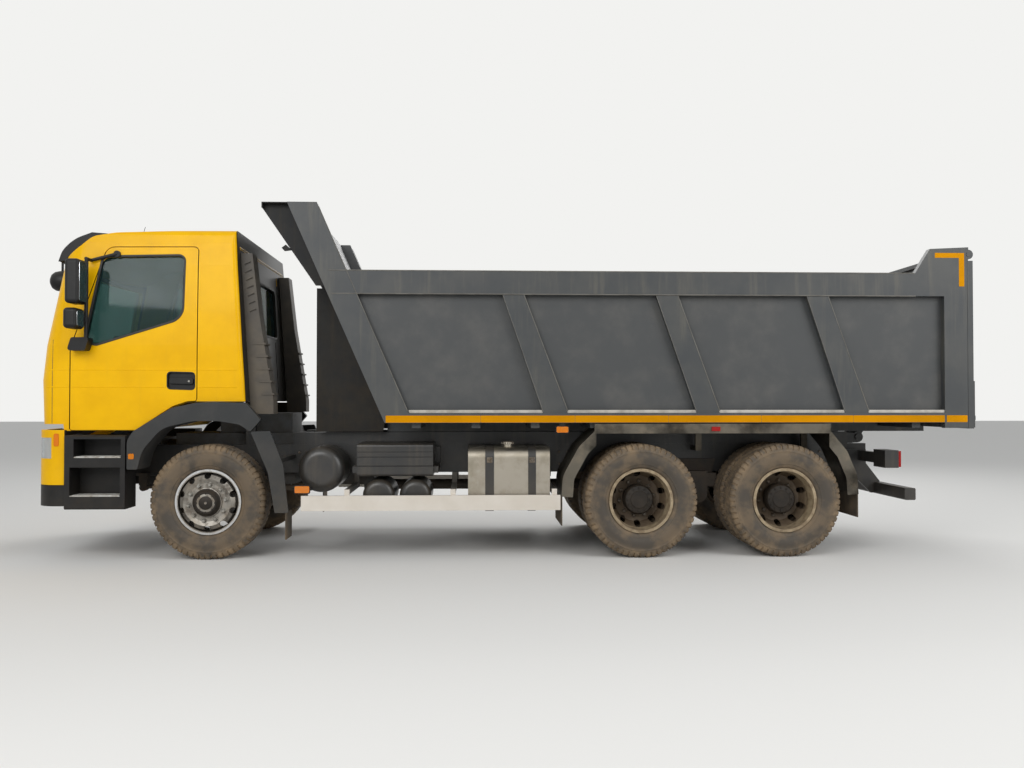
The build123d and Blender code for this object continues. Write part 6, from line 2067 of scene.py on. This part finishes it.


# Finishes


# Two-pack cab enamel, faded and road dusty. Its rearward faces and its rear wall are painted near-black as
# shade.
CAB_PAINT = Coating(
    "cab_enamel_yellow", "EEB700", "E4AC00", 420.0, 0.34, 1.0, 0.03, Dust("A5853E", 0.18, 1.5),
    coat=0.06, streaks=0.06, gloss=0.12, rear_shade_colour="24211D",
)
# Coarse structural paint on the bed's plates and hollow sections.
BODY_PAINT = Coating(
    "bed_structural_paint_grey", "35383A", "414241", 420.0, 0.5, 1.6, 0.12, Dust("77705F", 0.28, 1.7),
    dent_depth_mm=2.5, streaks=0.2,
)
# Chassis primer, black, with dried spray from the road.
CHASSIS_PAINT = Coating(
    "chassis_paint_black", "1C1E20", "272624", 160.0, 0.36, 1.6, 0.08, Dust("6C5F4D", 0.34, 1.3),
    coat=0.1, streaks=0.15,
)
# Textured polypropylene of bumper, steps and mirror shells.
BLACK_PLASTIC = Coating(
    "polypropylene_black", "121213", "1A1A1A", 200.0, 0.45, 0.9, 0.1, Dust("5F513E", 0.2, 1.3), gloss=0.3
)
# Weathered dark grey moulding of the wheel arches and mudguards.
FLARE_PLASTIC = Coating(
    "polypropylene_weathered_grey", "292B2C", "343434", 240.0, 0.55, 0.9, 0.12, Dust("6E624F", 0.3, 1.5),
    gloss=0.35,
)
# Air intake duct, grey plastic stained by exhaust and dust.
DUCT_PLASTIC = Coating(
    "duct_plastic_stained", "45413C", "575045", 220.0, 0.6, 1.2, 0.1, Dust("7A6A52", 0.36, 3.0)
)
# Soft dashboard foam skin.
DASH_SKIN = Coating(
    "dashboard_vinyl", "2B2D30", "333437", 300.0, 0.6, 1.4, 0.2, Dust("6A6055", 0.2, 2.5)
)
# Cast and forged axle iron under old mud.
AXLE_IRON = Coating(
    "cast_iron_muddy", "2A2724", "3B332B", 120.0, 0.65, 3.0, 0.4, Dust("695844", 0.5, 1.4)
)
# Painted hub covers, greasy.
HUB_IRON = Coating(
    "hub_iron_greasy", "191715", "28231E", 70.0, 0.46, 2.0, 0.2, Dust("5E4F3D", 0.2, 1.3), gloss=0.25
)
# Engine and gearbox castings.
ENGINE_IRON = Coating(
    "engine_casting", "4A4C4D", "3A3834", 150.0, 0.55, 2.5, 0.3, Dust("6E604F", 0.4, 1.6)
)
# Hoist tubes, black enamel.
HOIST_PAINT = Coating(
    "hoist_enamel_black", "202224", "2C2B29", 180.0, 0.35, 1.2, 0.04, Dust("7A6D5A", 0.3, 1.8)
)
# Dished rear rims, cream enamel under brown dust.
RIM_BEIGE = Coating(
    "rim_enamel_beige", "A8977A", "7D6B52", 70.0, 0.5, 1.6, 0.12, Dust("4F4132", 0.5, 1.6),
    inward_m=(1.0, 1.12),
)
# Rubber seals and wiper rubbers.
SEAL_RUBBER = Coating(
    "seal_rubber_epdm", "151515", "1E1E1D", 120.0, 0.55, 0.8, 0.06, Dust("6A6055", 0.18, 2.6)
)
# Ribbed mud flap rubber.
FLAP_RUBBER = Coating(
    "flap_rubber_dusty", "22211F", "39332B", 120.0, 0.7, 3.0, 0.3, Dust("7E6B52", 0.65, 1.5)
)
# Retro-reflective tape, orange.
STRIPE_TAPE = Coating(
    "reflective_tape_orange", "CB8800", "BA7D00", 500.0, 0.5, 5.0, 0.05, Dust("8D7A58", 0.04, 2.0),
    gloss=0.04,
)
# Pale strip along the bed's ledge, a painted highlight on its lit top face.
LEDGE_HIGHLIGHT = Coating(
    "ledge_painted_highlight", "BBB7AF", "96928A", 130.0, 0.45, 2.0, 0.15, Dust("9A8B74", 0.4, 2.6)
)
# Weld seams under the grey paint, in a pale colour that paints the highlight on their crests.
WELD_HIGHLIGHT = Coating(
    "weld_seam_painted_highlight", "66645E", "504E49", 130.0, 0.5, 2.0, 0.15, Dust("7D705C", 0.35, 2.6)
)
# Canopy plates: dark grey paint, darkened further as painted shade, with an ochre tone heavier lower down
# and on what faces up.
CANOPY_PAINT = Coating(
    "canopy_paint_with_painted_shade", "1B1C1E", "242423", 300.0, 0.6, 1.6, 0.12, Dust("6E5A38", 0.22, 3.4),
    dent_depth_mm=2.0, streaks=0.1, gloss=0.25,
)
# Anodised side guard, off-white. Its dust colour is dark and, with no dust share, only paints shade on the
# guard's inner side, towards the truck's middle.
GUARD_ALUMINIUM = Coating(
    "guard_aluminium_anodised", "D3CCC2", "C9C1B5", 500.0, 0.45, 1.0, 0.03, Dust("35302A", 0.0, 1.0),
    metallic=0.25, inward_m=(1.16, 1.2),
)
# Silencer shell, aluminised steel stained by heat.
SILENCER_STEEL = BareMetal(
    "silencer_aluminised", "8A8580", "6A5A4C", 0.5, 3.0, 140.0, 0.5, stretch=(1.0, 0.2, 1.0)
)
# Disc wheel, silver enamel.
RIM_SILVER = BareMetal("wheel_silver_enamel", "8F8B84", "67615A", 0.45, 1.2, 60.0, 0.6)
# Rolled rim edge, rubbed bright.
RIM_SILVER_BRIGHT = BareMetal("rim_edge_bright", "C6C7C8", "A9A7A3", 0.3, 1.2, 60.0, 0.25)
# Zinc-plated wheel nuts.
NUT_STEEL = BareMetal("nut_zinc_plated", "9C9A94", "77716A", 0.4, 0.8, 30.0, 0.45)
# Old fasteners, brown with dust.
NUT_DULL = BareMetal("fastener_steel_dull", "6E6861", "54483B", 0.5, 0.8, 25.0, 0.6)
# Brushed aluminium of the fuel tank.
TANK_ALUMINIUM = BareMetal(
    "tank_aluminium_brushed", "ABA498", "8D8678", 0.34, 1.2, 260.0, 0.16, stretch=(1.0, 1.0, 0.04)
)
# Step treads of raised-bar aluminium.
TREAD_PLATE = BareMetal("tread_plate_aluminium", "B4B4B1", "8C867C", 0.42, 1.5, 60.0, 0.5)
# Zinc-plated sheet of the rear mudguards, dulled by spray.
GALVANISED = BareMetal("zinc_sheet_weathered", "666158", "37342F", 0.5, 3.0, 420.0, 0.3)
# Hard chrome of the hoist's inner tubes.
HOIST_CHROME = BareMetal(
    "hoist_hard_chrome", "C9CBCD", "B5B6B7", 0.18, 0.6, 160.0, 0.12, stretch=(1.0, 1.0, 0.05)
)
# Silvered mirror behind clear glass.
MIRROR_GLASS = BareMetal("mirror_silvered", "E2E5E6", "D9DCDD", 0.03, 0.5, 300.0, 0.06)
# Laminated and toughened cab glass.
CAB_GLASS = TintedPane("cab_glass_tinted")
# Acrylic lamp lenses.
RED_LENS = Lens("acrylic_lens_red", "B3120E")
AMBER_LENS = Lens("acrylic_lens_amber", "F08A12")
CLEAR_LENS = Lens("acrylic_lens_clear", "D9DDDE", 12.0 * math.pi, 0.55)
# Flat woven polyester seat cloth.
SEAT_CLOTH = WovenCloth("seat_cloth_woven", "3A3D42", "55585E")
# Wear-resistant plate of the tub, scoured by stone inside.
TUB_STEEL = TubSteel("tub_plate_scoured")
# Natural rubber of the tyres with carbon black, dry mud on it.
TYRE_RUBBER = TyreRubber("tyre_rubber_dry_mud")
# Matt white floor paint.
FLOOR_PAINT = PlainPaint("studio_floor_paint", "E6E5E2", 0.9)

DRESSING = (
    (CAB_PAINT, ("cab_shell", "door_left", "door_right", "bumper_corners")),
    (CAB_GLASS, ("cab_glass", "door_glass_left", "door_glass_right")),
    (BLACK_PLASTIC, ("lower_bumper", "cab_steps", "front_grille", "sun_visor")),
    (BLACK_PLASTIC, ("door_mirrors_left", "door_mirrors_right")),
    (FLARE_PLASTIC, ("wheel_arch_flares", "front_mudguards")),
    (DUCT_PLASTIC, ("intake_ducts",)),
    (DASH_SKIN, ("dashboard",)),
    (SEAT_CLOTH, ("seats",)),
    (BODY_PAINT, ("bed_frame", "bed_bearers", "tailgate")),
    (TUB_STEEL, ("bed_tub",)),
    (CANOPY_PAINT, ("canopy",)),
    (CHASSIS_PAINT, ("frame_rails", "subframe", "air_tanks", "equipment_boxes", "tank_straps")),
    (CHASSIS_PAINT, ("underrun_bar",)),
    (TANK_ALUMINIUM, ("fuel_tank",)),
    (GUARD_ALUMINIUM, ("side_guards",)),
    (GALVANISED, ("rear_mudguards",)),
    (FLAP_RUBBER, ("mud_flaps",)),
    (SILENCER_STEEL, ("silencer",)),
    (ENGINE_IRON, ("engine_block",)),
    (AXLE_IRON, ("front_axle", "rear_axles", "knuckle_left", "knuckle_right", "tie_rod")),
    (HOIST_PAINT, ("hoist_barrel",)),
    (HOIST_CHROME, ("hoist_stage_1", "hoist_stage_2", "hoist_stage_3", "hoist_stage_4")),
    (RIM_SILVER, ("front_wheel_left", "front_wheel_right")),
    (RIM_BEIGE, ("rear_wheels_1_left", "rear_wheels_1_right", "rear_wheels_2_left", "rear_wheels_2_right")),
    (CLEAR_LENS, ("headlamps",)),
    (RED_LENS, ("lamps",)),
    (FLAP_RUBBER, ("front_tyre_left", "front_tyre_right")),
    (FLAP_RUBBER, ("rear_tyres_1_left", "rear_tyres_1_right", "rear_tyres_2_left", "rear_tyres_2_right")),
)


# Studio


@dataclass(frozen=True)
class Studio(Trim):
    """Pale floor and backdrop light, soft lamps, and the camera at the photograph's angle.

    Places are metres in the frame, the camera's turn is in radians from the +Y axis, and
    a lamp is its place, the length of its side and its power in watts.
    """

    camera: tuple[float, float, float] = (-0.375, -10.0, 1.4458)
    yaw: float = 0.0424
    pitch: float = 0.0184
    lens_mm: float = 33.48
    sensor_mm: float = 36.0
    floor_half: float = 60.0
    floor_drop: float = 0.001
    light_colour: str = "F4F6F8"
    backdrop_colour: str = "F2F2F0"
    aim: tuple[float, float, float] = (0.0, 0.0, 1.4)
    lamps: tuple[tuple[str, tuple[float, float, float], float, float], ...] = (
        ("key_lamp", (-5.5, -13.0, 7.5), 7.0, 860.0),
        ("fill_lamp", (8.0, -8.0, 6.0), 6.0, 450.0),
        ("back_lamp", (2.0, 9.0, 8.0), 6.0, 500.0),
    )

    def world(self) -> None:
        """Even pale surroundings that light the truck at a plain level.

        Rays from the camera, a reflection or a pane of glass see the backdrop's colour.
        """
        world = bpy.data.worlds.new("studio_surroundings")
        world.use_nodes = True
        add = Graph(world.node_tree).add
        rays = add("LightPath").node.outputs
        seen = add("Math", (rays["Is Camera Ray"], rays["Is Glossy Ray"]), operation="MAXIMUM")
        seen = add("Math", (seen, rays["Is Transmission Ray"]), operation="MAXIMUM")
        light = add("Background", {"Color": self.light_colour, "Strength": 0.5})
        backdrop = add("Background", {"Color": self.backdrop_colour, "Strength": 1.0})
        add("OutputWorld", {"Surface": add("MixShader", (seen, light, backdrop))})
        bpy.context.scene.world = world

    def place(self, thing: bpy.types.Object, location: Point, forward: Vector) -> None:
        """Put a lamp or the camera in the scene and turn it.

        Args:
            thing: The lamp or the camera.
            location: Where it stands.
            forward: Direction in which it looks.
        """
        thing.location = location
        thing.rotation_euler = forward.to_track_quat("-Z", "Y").to_euler()
        bpy.context.scene.collection.objects.link(thing)

    def floor(self) -> None:
        """Plain pale floor that keeps the truck's shadow."""
        half, z = self.floor_half, -self.floor_drop
        mesh = bpy.data.meshes.new("studio_floor")
        corners = [(-half, -half, z), (half, -half, z), (half, half, z), (-half, half, z)]
        mesh.from_pydata(corners, [], [(0, 1, 2, 3)])
        mesh.materials.append(self.shop.material(FLOOR_PAINT))
        plane = bpy.data.objects.new("studio_floor", mesh)
        bpy.context.scene.collection.objects.link(plane)

    def light(self) -> None:
        """Hang the large soft lamps."""
        for name, location, size, power in self.lamps:
            data = bpy.data.lights.new(name, "AREA")
            data.shape = "SQUARE"
            data.size = size
            data.energy = power
            lamp = bpy.data.objects.new(name, data)
            self.place(lamp, location, Vector(self.aim) - Vector(location))

    def aim_camera(self) -> None:
        """Camera at the photograph's place, and plain colours."""
        data = bpy.data.cameras.new("photo_camera")
        data.lens = self.lens_mm
        data.sensor_width = self.sensor_mm
        data.clip_end = 200.0
        camera = bpy.data.objects.new("photo_camera", data)
        level = math.cos(self.pitch)
        forward = (math.sin(self.yaw) * level, math.cos(self.yaw) * level, math.sin(self.pitch))
        self.place(camera, self.camera, Vector(forward))
        bpy.context.scene.camera = camera
        bpy.context.scene.view_settings.view_transform = "Standard"

    def build(self) -> None:
        """Set up surroundings, floor, lamps and camera."""
        self.world()
        self.floor()
        self.light()
        self.aim_camera()


def main() -> None:
    """Dress the CAD nodes, build every sub-assembly in order, and set up the studio."""
    logging.basicConfig(level=logging.INFO, format="%(message)s")
    shop = Workshop()
    for finish, nodes in DRESSING:
        shop.dress(finish, *nodes)
    WheelTrim(shop).build()
    cab = CabTrim(shop)
    cab.doors()
    cab.shell()
    Seat(shop, -520.0).build("seat_driver", ("seats",))
    Seat(shop, 520.0).build("seat_passenger", ())
    BedTrim(shop).build()
    ChassisTrim(shop).build()
    Studio(shop).build()


if __name__ == "__main__":
    main()
